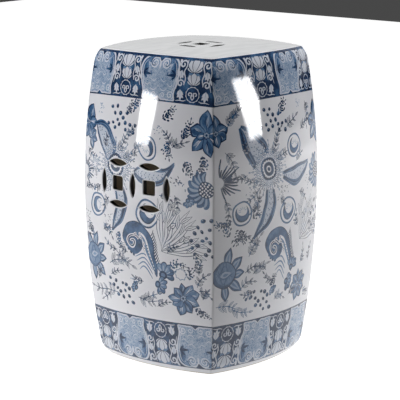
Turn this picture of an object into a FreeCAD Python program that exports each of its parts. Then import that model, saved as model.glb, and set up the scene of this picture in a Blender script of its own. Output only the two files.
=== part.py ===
import FreeCAD, Part
import math
import os

# A square garden stool of glazed stoneware, built from slabs: four bowed side panels mitred
# together at the corners, a domed seat slab let into their rims, a base slab with a round
# opening, and coils of clay luted into the joints from inside. Two opposite panels and the
# seat are pierced with the old coin pattern, which also gives a grip to lift the stool by.
# Millimetres, +Z up, origin on the floor under the middle of the stool. The front panel faces -Y.

# Heights
stool_height = 460.0        # top of the domed seat
dome_radius = 2220.0        # sphere of the seat; it drops 3 mm at the sides, 5 mm at the corners
seat_underside = 447.0
base_underside = 5.0        # the base slab clears the floor, so the stool stands on its foot edge
base_thickness = 8.0

# Each side is a slice of a large barrel that stands behind it, so it bows both ways
barrel_shift = 190.0        # from the middle of the stool back to the barrel's axis
half_at_foot = 121.4        # from the middle of the stool out to the middle of a side
half_at_belly = 144.4
half_at_rim = 126.0
belly_height = 262.0        # where the sides stand furthest out, a little above half way

# Soft shoulder under the rim and soft toe above the foot
shoulder_height = 24.0
shoulder_inset = 9.0
toe_height = 22.0
toe_inset = 10.0

# Walls and joints
wall = 8.0                  # thickness of the side panels
rim_lip = 3.0               # what is left of a panel outside the seat slab
lute_leg = 9.0              # coil fillets under the seat and on the base
corner_lute_depth = 5.0     # coil fillets down the inner corners
base_opening_radius = 75.0

# Coin pattern
coin_pitch = 60.0           # from one coin to the next, and between opposite petals of a coin
coin_radius = 35.0          # two such circles a pitch apart overlap in one petal
coin_square = 20.5
coin_band = 40.0            # the whole row of coins keeps within this height of its centre
side_coin_height = 269.0    # centre of the pair on a side panel
side_coin_shift = -8.5      # the pair is cut a little left of the middle, seen from outside
seat_coin_centre = (5.0, -7.0)
cut_start = 90.0            # the side cutters run from here to well outside the wall
reach = 170.0

up = FreeCAD.Vector(0, 0, 1)
origin = FreeCAD.Vector(0, 0, 0)
base_top = base_underside + base_thickness


def spread(low, high, spans):
    """Evenly spaced heights from low up to, but not including, high."""
    return [low + (high - low) * step / spans for step in range(spans)]


# A side's profile is a polygon along its curve. It turns at these heights: close together at the
# toe and shoulder, where it curves most, and at the slabs and above and below the coins, so that
# no slab or hole is cut by a turn. In between it keeps within 0.6 mm of the curve.
profile_levels = [0.0, base_underside, base_top]
profile_levels += spread(toe_height, side_coin_height - coin_band, 3)
profile_levels += [side_coin_height - coin_band]
profile_levels += spread(side_coin_height + coin_band, stool_height - shoulder_height, 3)
profile_levels += [stool_height - shoulder_height]
profile_levels += spread(seat_underside, stool_height, 2) + [stool_height]


def bow_radius(rise, inset):
    """Radius of an arc that leaves the upright at the belly and draws in over a rise."""
    return (rise ** 2 + inset ** 2) / (2 * inset)


def side_half(z, inward=0.0):
    """Distance from the middle of the stool to the middle of a side at height z."""
    if z > belly_height:
        radius = bow_radius(stool_height - belly_height, half_at_belly - half_at_rim)
    else:
        radius = bow_radius(belly_height, half_at_belly - half_at_foot)
    bowed = half_at_belly - radius + math.sqrt(radius ** 2 - (z - belly_height) ** 2)
    into_shoulder = max(0.0, z - (stool_height - shoulder_height)) / shoulder_height
    into_toe = max(0.0, toe_height - z) / toe_height
    soft = shoulder_inset * into_shoulder ** 2 + toe_inset * into_toe ** 2
    return bowed - soft - inward


def corner_half(z, inward=0.0):
    """Distance from the middle planes to the corner edge at height z."""
    radius = side_half(z, inward) + barrel_shift
    return (math.sqrt(2 * radius ** 2 - barrel_shift ** 2) - barrel_shift) / 2


def side_point(z, inward=0.0):
    return FreeCAD.Vector(0, -side_half(z, inward), z)


def four_sided(profile):
    """Solid bounded on all four sides by the barrel that this upright profile turns."""
    axis_foot = FreeCAD.Vector(0, barrel_shift, profile[0].z)
    axis_top = FreeCAD.Vector(0, barrel_shift, profile[-1].z)
    outline = Part.makePolygon(profile + [axis_top, axis_foot, profile[0]])
    barrel = Part.Face(outline).revolve(axis_foot, up, 360)
    barrel.rotate(axis_foot, up, 180)    # its seam goes to the far side, away from the panel
    solid = barrel
    for turn in (1, 2, 3):
        other = barrel.copy()
        other.rotate(origin, up, 90 * turn)
        solid = solid.common(other)
    return solid


def body(inward):
    """The whole bowed body as one solid, its sides drawn in by a thickness."""
    return four_sided([side_point(z, inward) for z in profile_levels])


def slice_between(solid, low, high):
    box = Part.makeBox(2 * reach, 2 * reach, high - low, FreeCAD.Vector(-reach, -reach, low))
    return solid.common(box)


def petal(centre_x, centre_y, lies_flat):
    """Face of one petal: the overlap of two circles a pitch apart."""
    half_width = coin_radius - coin_pitch / 2
    half_length = math.sqrt(coin_radius ** 2 - (coin_pitch / 2) ** 2)
    points = [(-half_length, 0), (0, half_width), (half_length, 0), (0, -half_width)]
    if not lies_flat:
        points = [(y, x) for x, y in points]
    places = [FreeCAD.Vector(centre_x + x, centre_y + y, 0) for x, y in points]
    upper = Part.Arc(places[0], places[1], places[2]).toShape()
    lower = Part.Arc(places[2], places[3], places[0]).toShape()
    return Part.Face(Part.Wire([upper, lower]))


def coin_faces(coins):
    """Petals and square holes of a row of coins, centred on the origin of the XY plane."""
    faces = []
    first = -coin_pitch * (coins - 1) / 2
    half_pitch = coin_pitch / 2
    half_square = coin_square / 2
    for number in range(coins):
        middle = first + number * coin_pitch
        square = Part.makePlane(coin_square, coin_square,
                                FreeCAD.Vector(middle - half_square, -half_square, 0))
        faces += [square, petal(middle, half_pitch, True), petal(middle, -half_pitch, True)]
    for number in range(coins + 1):
        faces.append(petal(first - half_pitch + number * coin_pitch, 0, False))
    return faces


def side_cutter():
    """Prisms that pierce the front wall with a pair of coins."""
    stand_up = FreeCAD.Rotation(FreeCAD.Vector(1, 0, 0), 90)
    place = FreeCAD.Placement(FreeCAD.Vector(side_coin_shift, -cut_start, side_coin_height), stand_up)
    prisms = []
    for face in coin_faces(2):
        face.Placement = place.multiply(face.Placement)
        prisms.append(face.extrude(FreeCAD.Vector(0, cut_start - reach, 0)))
    return Part.makeCompound(prisms)


def seat_cutter():
    """Prisms that pierce the seat slab with one coin."""
    x, y = seat_coin_centre
    prisms = []
    for face in coin_faces(1):
        face.translate(FreeCAD.Vector(x, y, seat_underside - wall))
        prisms.append(face.extrude(up * (stool_height - seat_underside + 2 * wall)))
    return Part.makeCompound(prisms)


def quarter(turn):
    """Wedge of space between two mitre planes, a quarter turn further round each time."""
    corners = [origin, FreeCAD.Vector(-reach, -reach, 0), FreeCAD.Vector(reach, -reach, 0), origin]
    wedge = Part.Face(Part.makePolygon(corners)).extrude(up * stool_height)
    wedge.rotate(origin, up, 90 * turn)
    return wedge


def ring_lute(hollow, joint, edge):
    """Coil fillet round the inside, wide at the joint's level and thin at its edge's level."""
    ends = sorted([(joint, wall + lute_leg), (edge, wall)])
    slope = [side_point(level, inward) for level, inward in ends]
    return slice_between(hollow, ends[0][0], ends[1][0]).cut(four_sided(slope))


def corner_lutes(hollow, low, high):
    """The four coved coils down the inner corners, as what is left outside a round core."""
    core_outline = [FreeCAD.Vector(0, 0, low)]
    for z in profile_levels:
        if low <= z <= high:
            core_radius = math.sqrt(2) * corner_half(z, wall) - corner_lute_depth
            core_outline.append(FreeCAD.Vector(core_radius, 0, z))
    core_outline += [FreeCAD.Vector(0, 0, high), core_outline[0]]
    core = Part.Face(Part.makePolygon(core_outline)).revolve(origin, up, 360)
    return slice_between(hollow, low, high).cut(core)


def write(name, shape):
    solids = shape.Solids
    kept = solids[0] if len(solids) == 1 else Part.makeCompound(solids)
    kept.exportStep("parts/%s.step" % name)
    print("%-26s solids %d  volume %8.1f cm3  valid %s"
          % (name, len(solids), kept.Volume / 1000, kept.isValid()))


os.makedirs("parts", exist_ok=True)

# The body: outside, hollow and the pocket for the seat
dome_centre = FreeCAD.Vector(0, 0, stool_height - dome_radius)
dome = Part.makeSphere(dome_radius, dome_centre, FreeCAD.Vector(1, 0, 0))
outside = body(0).common(dome)
hollow = slice_between(body(wall), 0, seat_underside)
seat_pocket = slice_between(body(rim_lip), seat_underside, stool_height)
walls = outside.cut(hollow).cut(seat_pocket)

# Side panels, mitred at the corners; the front and back ones are pierced
pierced_panel = walls.common(quarter(0)).cut(side_cutter())
plain_panel = walls.common(quarter(1))
for name, panel, turn in [("side_panel_front", pierced_panel, 0), ("side_panel_right", plain_panel, 0),
                          ("side_panel_back", pierced_panel, 180), ("side_panel_left", plain_panel, 180)]:
    placed = panel.copy()
    placed.rotate(origin, up, turn)
    write(name, placed)

# Seat slab, let into the rims of the panels, and base slab with its round opening
write("seat_slab", seat_pocket.common(dome).cut(seat_cutter()))
opening = Part.makeCylinder(base_opening_radius, stool_height)
write("base_slab", slice_between(hollow, base_underside, base_top).cut(opening))

# Clay coils luted into the joints from inside
seat_lute = ring_lute(hollow, seat_underside, seat_underside - lute_leg)
base_lute = ring_lute(hollow, base_top, base_top + lute_leg)
write("seat_lute", seat_lute)
write("base_lute", base_lute)
lutes = corner_lutes(hollow, base_top, seat_underside).cut(seat_lute).cut(base_lute)
for turn, name in enumerate(["front_right", "back_right", "back_left", "front_left"]):
    diagonal_wedge = quarter(turn)
    diagonal_wedge.rotate(origin, up, 45)
    write("corner_lute_" + name, lutes.common(diagonal_wedge))
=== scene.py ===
# %% [markdown]
# A square garden stool of glazed stoneware. The real one is made from slabs: four bowed side
# panels joined at mitred corners, a slightly domed seat and a base with a round opening. The
# panels carry a cobalt blue print under a clear glaze: a border of palmettes and pale speckled
# cartouches at the top and bottom, and between them flowers, berries and curling leaves.
# The construction comes from the frame. This script gives it its glaze, print and soft edges.

# %% Load the frame
import math
import random

import bmesh
import bpy
import numpy as np
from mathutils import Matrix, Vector
from mathutils.geometry import delaunay_2d_cdt


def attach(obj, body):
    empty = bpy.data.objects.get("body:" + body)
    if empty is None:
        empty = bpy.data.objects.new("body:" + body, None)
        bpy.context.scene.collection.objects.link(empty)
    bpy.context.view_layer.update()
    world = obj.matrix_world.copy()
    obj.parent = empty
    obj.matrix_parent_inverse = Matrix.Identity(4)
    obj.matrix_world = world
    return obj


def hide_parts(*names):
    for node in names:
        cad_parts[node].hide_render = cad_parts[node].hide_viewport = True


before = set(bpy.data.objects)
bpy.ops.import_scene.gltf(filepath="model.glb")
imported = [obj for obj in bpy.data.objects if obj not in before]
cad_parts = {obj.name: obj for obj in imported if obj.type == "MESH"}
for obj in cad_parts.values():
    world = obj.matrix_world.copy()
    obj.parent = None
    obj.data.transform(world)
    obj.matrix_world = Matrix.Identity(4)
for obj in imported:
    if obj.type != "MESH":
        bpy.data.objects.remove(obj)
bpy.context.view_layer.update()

# %% [markdown]
# The panels are modelled again here, because their print and their softened edges have to
# follow the bowed surface closely. So the sizes that shape that surface are needed, in
# millimetres, the unit that potters work in. Blender's unit here is the metre.

# %% Sizes of the stool
MM = 0.001
stool_height = 460.0
dome_radius = 2220.0
seat_underside = 447.0
barrel_shift = 190.0        # from the middle of the stool back to the axis of a side's bow
half_at_foot = 121.4
half_at_belly = 144.4
half_at_rim = 126.0
belly_height = 262.0
shoulder_height, shoulder_inset = 24.0, 9.0
toe_height, toe_inset = 22.0, 10.0
wall = 8.0
rim_lip = 3.0
coin_pitch, coin_radius, coin_square = 60.0, 35.0, 20.5
side_coin_height, side_coin_shift = 269.0, -8.5
seat_coin_centre = (5.0, -7.0)

corner_round = 5.0          # radius that the glaze gives the upright corner edges


def side_half(z):
    """Distance from the middle of the stool to the middle of a side, at heights z."""
    z = np.asarray(z, float)
    rise_up, inset_up = stool_height - belly_height, half_at_belly - half_at_rim
    rise_down, inset_down = belly_height, half_at_belly - half_at_foot
    radius = np.where(z > belly_height, (rise_up ** 2 + inset_up ** 2) / (2 * inset_up),
                      (rise_down ** 2 + inset_down ** 2) / (2 * inset_down))
    bowed = half_at_belly - radius + np.sqrt(radius ** 2 - (z - belly_height) ** 2)
    into_shoulder = np.maximum(0, z - (stool_height - shoulder_height)) / shoulder_height
    into_toe = np.maximum(0, toe_height - z) / toe_height
    return bowed - shoulder_inset * into_shoulder ** 2 - toe_inset * into_toe ** 2


def bow(z, inward=0.0):
    """Radius of a side's bow at heights z, and the angle from its middle to the mitre."""
    radius = side_half(z) + barrel_shift - inward
    corner = (np.sqrt(2 * radius ** 2 - barrel_shift ** 2) - barrel_shift) / 2
    return radius, np.arcsin(corner / radius)


def half_arc(z):
    """Distance along the glaze from the middle of a side to the corner edge."""
    radius, angle = bow(z)
    return radius * angle


def dome(x, y):
    """Height of the seat's dome over a place in plan."""
    return stool_height - dome_radius + np.sqrt(dome_radius ** 2 - x ** 2 - y ** 2)


# %% [markdown]
# A place on a side panel is given as s, the distance along the glaze to the right of the
# panel's middle line, and z, the height. Measured that way, the print can be drawn flat, like
# a transfer, and then wrapped on. Near a mitre the surface turns over towards its neighbour,
# which gives the corner the soft edge of a thick glaze.

# %% Wrapping a flat drawing onto the front panel
def wrap(s, z):
    """Points of the front panel's outer face, as an array of x, y, z."""
    s, z = np.asarray(s, float), np.asarray(z, float)
    radius, corner_angle = bow(z)
    turn = math.pi / 4 - corner_angle
    soft = corner_round * np.tan(turn)
    along = np.abs(s)
    into = np.clip(1 - (radius * corner_angle - along) / soft, 0, 1) * turn
    angle = np.minimum(along, radius * corner_angle - soft) / radius
    side, back = corner_round * np.sin(into), corner_round * (1 - np.cos(into))
    x = (radius - back) * np.sin(angle) + side * np.cos(angle)
    out = (radius - back) * np.cos(angle) - side * np.sin(angle) - barrel_shift
    at_mitre = radius * corner_angle - along < 1e-3
    x, out = np.where(at_mitre, (x + out) / 2, x), np.where(at_mitre, (x + out) / 2, out)
    return np.stack([np.sign(s) * x, -out, z], -1)


def inside(u, z, inward):
    """Points a distance inward from the outer face; u runs from -1 to 1 between the mitres."""
    radius, corner_angle = bow(z, inward)
    angle = np.asarray(u, float) * corner_angle
    return np.stack([radius * np.sin(angle), barrel_shift - radius * np.cos(angle),
                     np.zeros_like(angle) + z], -1)


def straight_in(x, z, inward):
    """Points reached by cutting straight in from the front, as the holes are cut."""
    x, z = np.asarray(x, float), np.asarray(z, float)
    radius = bow(z)[0] - inward
    return np.stack([x, barrel_shift - np.sqrt(radius ** 2 - x ** 2), z], -1)


def rim_height(s):
    """Height at which the outer face would meet the seat's dome."""
    z = np.full(np.shape(s), stool_height - rim_lip)
    for _ in range(4):
        share = np.asarray(s) / half_arc(stool_height - rim_lip)
        place = wrap(np.clip(share, -1, 1) * half_arc(z), z)
        z = dome(place[..., 0], place[..., 1])
    return z


print("corner edge to corner edge along the glaze at the belly: %.0f mm" % (2 * half_arc(belly_height)))

# %% [markdown]
# The camera looks slightly down on the corner between the front and the right side, from far
# away, so that upright edges stay nearly parallel. The object sits a little off the middle of
# the picture, which the camera's shift takes up.

# %% Camera
camera_azimuth, camera_elevation = math.radians(39.40), math.radians(10.92)
camera_distance = 3084.0 * MM
picture_side = 400
middle_of_stool_in_picture = (201.57, 198.63)
sensor_width = 36.0
lens_to_picture_side = 5.2374

aim = Vector((0, 0, stool_height * MM / 2))
towards_camera = Vector((math.sin(camera_azimuth) * math.cos(camera_elevation),
                         -math.cos(camera_azimuth) * math.cos(camera_elevation),
                         math.sin(camera_elevation)))
camera_data = bpy.data.cameras.new("camera")
camera_data.sensor_width = sensor_width
camera_data.lens = sensor_width * lens_to_picture_side
camera_data.shift_x = (picture_side / 2 - middle_of_stool_in_picture[0]) / picture_side
camera_data.shift_y = (middle_of_stool_in_picture[1] - picture_side / 2) / picture_side
camera = bpy.data.objects.new("camera", camera_data)
camera.location = aim + towards_camera * camera_distance
camera.rotation_euler = (-towards_camera).to_track_quat("-Z", "Y").to_euler()
bpy.context.collection.objects.link(camera)
bpy.context.scene.camera = camera
print("lens %.1f mm at %.2f m" % (camera_data.lens, camera_distance))

# %% [markdown]
# Materials are built from nodes. One small function adds a node, sets it up and links it, and
# another turns the colours, written as sRGB hex values, into the linear values that shaders use.

# %% Helpers for materials
def hex_colour(text):
    """Linear RGBA from an sRGB hex value."""
    channels = [int(text[i:i + 2], 16) / 255 for i in (1, 3, 5)]
    linear = [c / 12.92 if c <= 0.04045 else ((c + 0.055) / 1.055) ** 2.4 for c in channels]
    return (*linear, 1.0)


def add_node(tree, kind, settings=None, **sockets):
    """Adds a node; sockets are input names (spaces as _) or numbers (_0, _1) and values or outputs."""
    node = tree.nodes.new(kind)
    for name, value in (settings or {}).items():
        setattr(node, name, value)
    for name, value in sockets.items():
        key = int(name[1:]) if name[0] == "_" else name.replace("_", " ")
        if isinstance(value, bpy.types.NodeSocket):
            tree.links.new(value, node.inputs[key])
        else:
            node.inputs[key].default_value = value
    return node


def new_material(name):
    """An empty Principled material, with its tree, shader and object coordinates."""
    material = bpy.data.materials.new(name)
    material.use_nodes = True
    tree = material.node_tree
    shader = tree.nodes["Principled BSDF"]
    place = add_node(tree, "ShaderNodeTexCoord").outputs["Object"]
    return material, tree, shader, place


def set_ramp(node, stops):
    """Fills a colour ramp from pairs of position and hex colour."""
    ramp = node.color_ramp
    while len(ramp.elements) < len(stops):
        ramp.elements.new(0.5)
    for element, (position, colour) in zip(ramp.elements, stops):
        element.position = position
        element.color = hex_colour(colour)


# %% [markdown]
# Glazed stoneware with a cobalt print. The print lies on a white slip, under about half a
# millimetre of clear glossy glaze, so the colour looks soft and deep while the surface stays
# mirror smooth: low roughness, the IOR of a lime glaze and a faint waviness from firing. The
# strength of the cobalt comes with the mesh, as an attribute called Print: red is the strength
# of the colour, and green marks the pale grounds that are filled with fine worm-like speckle.
# Where cobalt is strong it pools, so it varies from brush mark to brush mark.

# %% Glazed print, white glaze and bare stoneware
glaze_ior = 1.52
glaze_roughness = 0.07
worm_spacing = 3.0          # millimetres between the fine lines of the speckled grounds
pool_size = 16.0            # and between the darker pools in the cobalt
firing_wave = 55.0          # and between the swells of the glaze


def noise(tree, place, spacing, detail=2.0, distortion=0.0):
    """Noise whose swells are a given number of millimetres apart."""
    return add_node(tree, "ShaderNodeTexNoise", Vector=place, Scale=1 / (spacing * MM),
                    Detail=detail, Distortion=distortion).outputs["Fac"]


def maths(tree, operation, first, second=0.0, third=0.0, clamp=False):
    return add_node(tree, "ShaderNodeMath", {"operation": operation, "use_clamp": clamp},
                    _0=first, _1=second, _2=third).outputs[0]


def glaze_surface(tree, shader, place):
    """The gloss that the printed and the plain glaze share."""
    shader.inputs["Roughness"].default_value = glaze_roughness
    shader.inputs["IOR"].default_value = glaze_ior
    swell = noise(tree, place, firing_wave, detail=1.0)
    bump = add_node(tree, "ShaderNodeBump", Strength=0.35, Distance=0.5 * MM, Height=swell)
    tree.links.new(bump.outputs["Normal"], shader.inputs["Normal"])


def make_printed_glaze():
    material, tree, shader, place = new_material("cobalt_print_under_clear_glaze")
    mark = add_node(tree, "ShaderNodeAttribute", {"attribute_name": "Print"})
    channels = add_node(tree, "ShaderNodeSeparateColor", Color=mark.outputs["Color"])
    strength, speckled = channels.outputs["Red"], channels.outputs["Green"]
    pools = noise(tree, place, pool_size, detail=3.0)
    fine = noise(tree, place, 2.2, detail=1.0)
    uneven = maths(tree, "MULTIPLY_ADD", pools, 1.1, 0.42)
    uneven = maths(tree, "MULTIPLY_ADD", fine, 0.3, maths(tree, "SUBTRACT", uneven, 0.15))
    cobalt = maths(tree, "MULTIPLY", strength, uneven)
    worms = noise(tree, place, worm_spacing, detail=1.5, distortion=1.1)
    from_line = maths(tree, "ABSOLUTE", maths(tree, "SUBTRACT", worms, 0.5))
    on_line = maths(tree, "MULTIPLY_ADD", from_line, -16.0, 0.8, clamp=True)
    cobalt = maths(tree, "MULTIPLY_ADD", maths(tree, "MULTIPLY", on_line, speckled), 0.56, cobalt)
    haze = maths(tree, "MULTIPLY", noise(tree, place, 40.0, detail=4.0), 0.05)
    cobalt = maths(tree, "ADD", cobalt, maths(tree, "SUBTRACT", haze, 0.02), clamp=True)
    ramp = add_node(tree, "ShaderNodeValToRGB", Fac=cobalt)
    set_ramp(ramp, [(0.0, "#E4E4E9"), (0.12, "#C4CAD6"), (0.30, "#9CADC4"), (0.52, "#6684A8"),
                    (0.76, "#3E6189"), (1.0, "#253755")])
    tree.links.new(ramp.outputs["Color"], shader.inputs["Base Color"])
    glaze_surface(tree, shader, place)
    return material


def make_white_glaze():
    material, tree, shader, place = new_material("white_slip_under_clear_glaze")
    streak_place = add_node(tree, "ShaderNodeMapping", Vector=place, Scale=(1.0, 0.22, 1.0))
    streaks = noise(tree, streak_place.outputs["Vector"], 12.0, detail=4.0, distortion=0.6)
    ramp = add_node(tree, "ShaderNodeValToRGB", Fac=streaks)
    set_ramp(ramp, [(0.35, "#D4D6D8"), (0.62, "#E0E1E3")])
    tree.links.new(ramp.outputs["Color"], shader.inputs["Base Color"])
    glaze_surface(tree, shader, place)
    return material


def make_bare_stoneware(name, tones):
    material, tree, shader, place = new_material(name)
    grit = noise(tree, place, 1.6, detail=3.0)
    flame = noise(tree, place, 45.0, detail=3.0)
    tone = maths(tree, "MULTIPLY_ADD", grit, 0.45, maths(tree, "MULTIPLY", flame, 0.55))
    ramp = add_node(tree, "ShaderNodeValToRGB", Fac=tone)
    set_ramp(ramp, list(zip((0.36, 0.5, 0.66), tones)))
    tree.links.new(ramp.outputs["Color"], shader.inputs["Base Color"])
    shader.inputs["Roughness"].default_value = 0.86
    bump = add_node(tree, "ShaderNodeBump", Strength=0.5, Distance=0.3 * MM, Height=grit)
    tree.links.new(bump.outputs["Normal"], shader.inputs["Normal"])
    return material


printed_glaze = make_printed_glaze()
white_glaze = make_white_glaze()
bare_stoneware = make_bare_stoneware("bare_fired_stoneware", ("#A99C88", "#C4B8A4", "#D3C9B8"))
# A near-black stoneware for the walls of the holes: painted shade, standing in for the shadow inside them.
hole_wall_painted_shade = make_bare_stoneware("stoneware_with_painted_shade_for_hole_walls", ("#2B2726", "#3A3534", "#4A4442"))
print("materials:", printed_glaze.name, white_glaze.name, bare_stoneware.name, hole_wall_painted_shade.name)

# %% [markdown]
# A printed panel is a sheet with over two thousand small shapes drawn on it and up to nine
# holes cut through. Modelling that by hand, cut by cut, would leave ragged faces on the bowed surface.
# So the sheet is made in mesh code instead: the outlines of all shapes, holes and edges are
# given to a constrained triangulation in the flat, each triangle takes the ink of the topmost
# shape that it lies in, and only then is the sheet wrapped onto the barrel. Every brush mark
# keeps a crisp edge, because it is an edge of the mesh.

# %% Flat outlines
def smooth(points, closed=False, steps=4):
    """A smooth line through given points (Catmull-Rom), as an array of x and y."""
    points = np.asarray(points, float)
    if closed:
        padded = np.vstack([points[-1:], points, points[:2]])
    else:
        padded = np.vstack([2 * points[0] - points[1], points, 2 * points[-1] - points[-2]])
    share = np.linspace(0, 1, steps, endpoint=False)[:, None]
    pieces = []
    for before, start, end, after in zip(padded, padded[1:], padded[2:], padded[3:]):
        pieces.append(start + 0.5 * share * (end - before + share * (
            2 * before - 5 * start + 4 * end - after + share * (3 * (start - end) + after - before))))
    line = np.vstack(pieces)
    return line if closed else np.vstack([line, points[-1:]])


def ribbon(points, width, start_width=0.0, end_width=0.0, steps=4):
    """Outline of a brush stroke along a smooth line: thin at its ends and widest half way."""
    line = smooth(points, steps=steps)
    along = np.linspace(0, 1, len(line))
    ends = start_width + (end_width - start_width) * along
    half = (ends + (width - ends) * np.sin(math.pi * along) ** 0.7) / 2
    ahead = np.gradient(line, axis=0)
    ahead /= np.linalg.norm(ahead, axis=1)[:, None] + 1e-9
    sideways = np.stack([-ahead[:, 1], ahead[:, 0]], -1) * half[:, None]
    left, right = line + sideways, line - sideways
    first = 0 if start_width > 0.3 else 1
    last = None if end_width > 0.3 else -1
    tips = [] if first == 0 else [line[:1]]
    tail = [] if last is None else [line[-1:]]
    return np.vstack(tips + [left[first:last]] + tail + [right[first:last][::-1]])


def disc(x, y, radius, sides=12, squash=1.0, turn=0.0):
    angle = np.arange(sides) * 2 * math.pi / sides
    ring = np.stack([radius * np.cos(angle), radius * squash * np.sin(angle)], -1)
    return rotated(ring, turn) + (x, y)


def rotated(points, degrees):
    c, s = math.cos(math.radians(degrees)), math.sin(math.radians(degrees))
    return np.asarray(points, float) @ np.array([[c, s], [-s, c]])


def leaf(x, y, length, width, turn, belly=0.45):
    """A pointed leaf or petal from x, y outward; belly is where along it it is widest."""
    half = [(0, 0), (belly * 0.45, 0.36), (belly, 0.5), (belly + (1 - belly) * 0.55, 0.3), (1, 0)]
    upper = smooth(half, steps=3)
    lower = upper[-2:0:-1] * (1, -1)
    return rotated(np.vstack([upper, lower]) * (length, width), turn) + (x, y)


def scalloped(x, y, radius, lobes, depth):
    """A rosette outline: a circle whose rim swells into lobes, with four points on each."""
    angle = np.arange(lobes * 4) * 2 * math.pi / (lobes * 4)
    r = radius * (1 - depth * (0.5 + 0.5 * np.cos(angle * lobes)))
    return np.stack([r * np.cos(angle), r * np.sin(angle)], -1) + (x, y)


def spiral(x, y, radius, turns, start, width, hand=1):
    """A curl: a stroke that winds in towards its eye."""
    count = int(10 * turns) + 2
    share = np.linspace(0, 1, count)
    angle = math.radians(start) + hand * share * turns * 2 * math.pi
    r = radius * (1 - 0.86 * share)
    line = np.stack([x + r * np.cos(angle), y + r * np.sin(angle)], -1)
    return ribbon(line, width, start_width=width * 0.6, end_width=width, steps=2)


def moved(shapes, x, y, turn=0.0):
    """Places a motif's shapes on the panel: turned and shifted."""
    return [(rotated(outline, turn) + (x, y), ink) for outline, ink in shapes]

# %% [markdown]
# A side panel is a closed shell. Its parts follow each other round the wall: the printed
# outer face, the softened rim and foot, the walls of the holes with their glazed lips, the inner
# face, and the two mitre faces that the neighbouring panels are luted to. Every edge of the
# outer face is a chain of points, and each chain is carried on, ring by ring, by the same few
# lines of code, so that no gap can open between them.

# %% Building a panel's shell
grid_across, grid_up = 9.0, 13.0        # spacing of the plain points that let the sheet bow
round_steps = 4                         # faces round a softened edge
rim_round = 3.0                         # the rim is softened over the whole lip
foot_round = 2.0
hole_lip = 1.6                          # the glaze of a side draws back this far at a hole


def levels_up(low, high):
    """Heights for rows of points: close together where the toe and the shoulder curve most."""
    toe = np.arange(low, toe_height + 2, 2.0)
    middle = np.arange(toe_height + 8, stool_height - shoulder_height - 4, grid_up)
    shoulder = np.arange(stool_height - shoulder_height - 2, high - 1.0, 2.0)
    return np.concatenate([toe, middle, shoulder])


def panel_outline():
    """The flat sheet's border, anticlockwise from the lower left corner."""
    top_at_mitre = float(rim_height(half_arc(stool_height - rim_lip))) - rim_round
    levels = np.append(levels_up(foot_round, top_at_mitre), top_at_mitre)
    right = np.stack([half_arc(levels), levels], -1)
    left = right[::-1] * (-1, 1)
    shares = np.linspace(-1, 1, 31)
    foot = np.stack([shares * half_arc(foot_round), np.full(31, foot_round)], -1)
    rim_s = shares[::-1] * half_arc(top_at_mitre)
    rim = np.stack([rim_s, rim_height(rim_s) - rim_round], -1)
    rim[[0, -1], 1] = top_at_mitre
    return np.vstack([foot[:-1], right[:-1], rim[:-1], left[:-1]])


def petal_outline(x, z, lies_flat, grow):
    """Overlap of two circles a pitch apart, with its points slightly rounded off."""
    radius = coin_radius + grow
    half_turn = math.acos(coin_pitch / 2 / radius)
    angle = np.linspace(-half_turn, half_turn, 12) * 0.97
    arc = np.stack([radius * np.cos(angle) - coin_pitch / 2, radius * np.sin(angle)], -1)
    outline = np.vstack([arc, -arc])
    return (outline[:, ::-1] * (1, -1) if lies_flat else outline) + (x, z)


def square_outline(x, z, grow):
    half, soft = coin_square / 2 + grow, 2.2 + grow
    turn = np.radians([0, 30, 60, 90])
    corner = np.stack([np.cos(turn), np.sin(turn)], -1) * soft + (half - soft)
    edge = np.array([[half, 0.0]])
    quarter = np.vstack([edge, corner])
    return np.vstack([rotated(quarter, 90 * k) for k in range(4)]) + (x, z)


def coin_outlines(coins, x, z, grow=0.0):
    """Squares and petals of a row of coins: each coin is a ring round a square hole."""
    outlines = []
    half_pitch = coin_pitch / 2
    for number in range(coins):
        middle = x + (number - (coins - 1) / 2) * coin_pitch
        outlines += [square_outline(middle, z, grow),
                     petal_outline(middle, z + half_pitch, True, grow),
                     petal_outline(middle, z - half_pitch, True, grow)]
    for number in range(coins + 1):
        outlines.append(petal_outline(x + (number - coins / 2) * coin_pitch, z, False, grow))
    return outlines


def covers(outline, points):
    """Which points lie inside an outline, also where a brush stroke crosses itself."""
    start, end = outline, np.roll(outline, -1, axis=0)
    x, y = points[:, :1], points[:, 1:]
    side = (end[:, 0] - start[:, 0]) * (y - start[:, 1]) - (x - start[:, 0]) * (end[:, 1] - start[:, 1])
    upward = (start[:, 1] <= y) & (end[:, 1] > y) & (side > 0)
    downward = (start[:, 1] > y) & (end[:, 1] <= y) & (side < 0)
    return upward.sum(1) != downward.sum(1)


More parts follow.
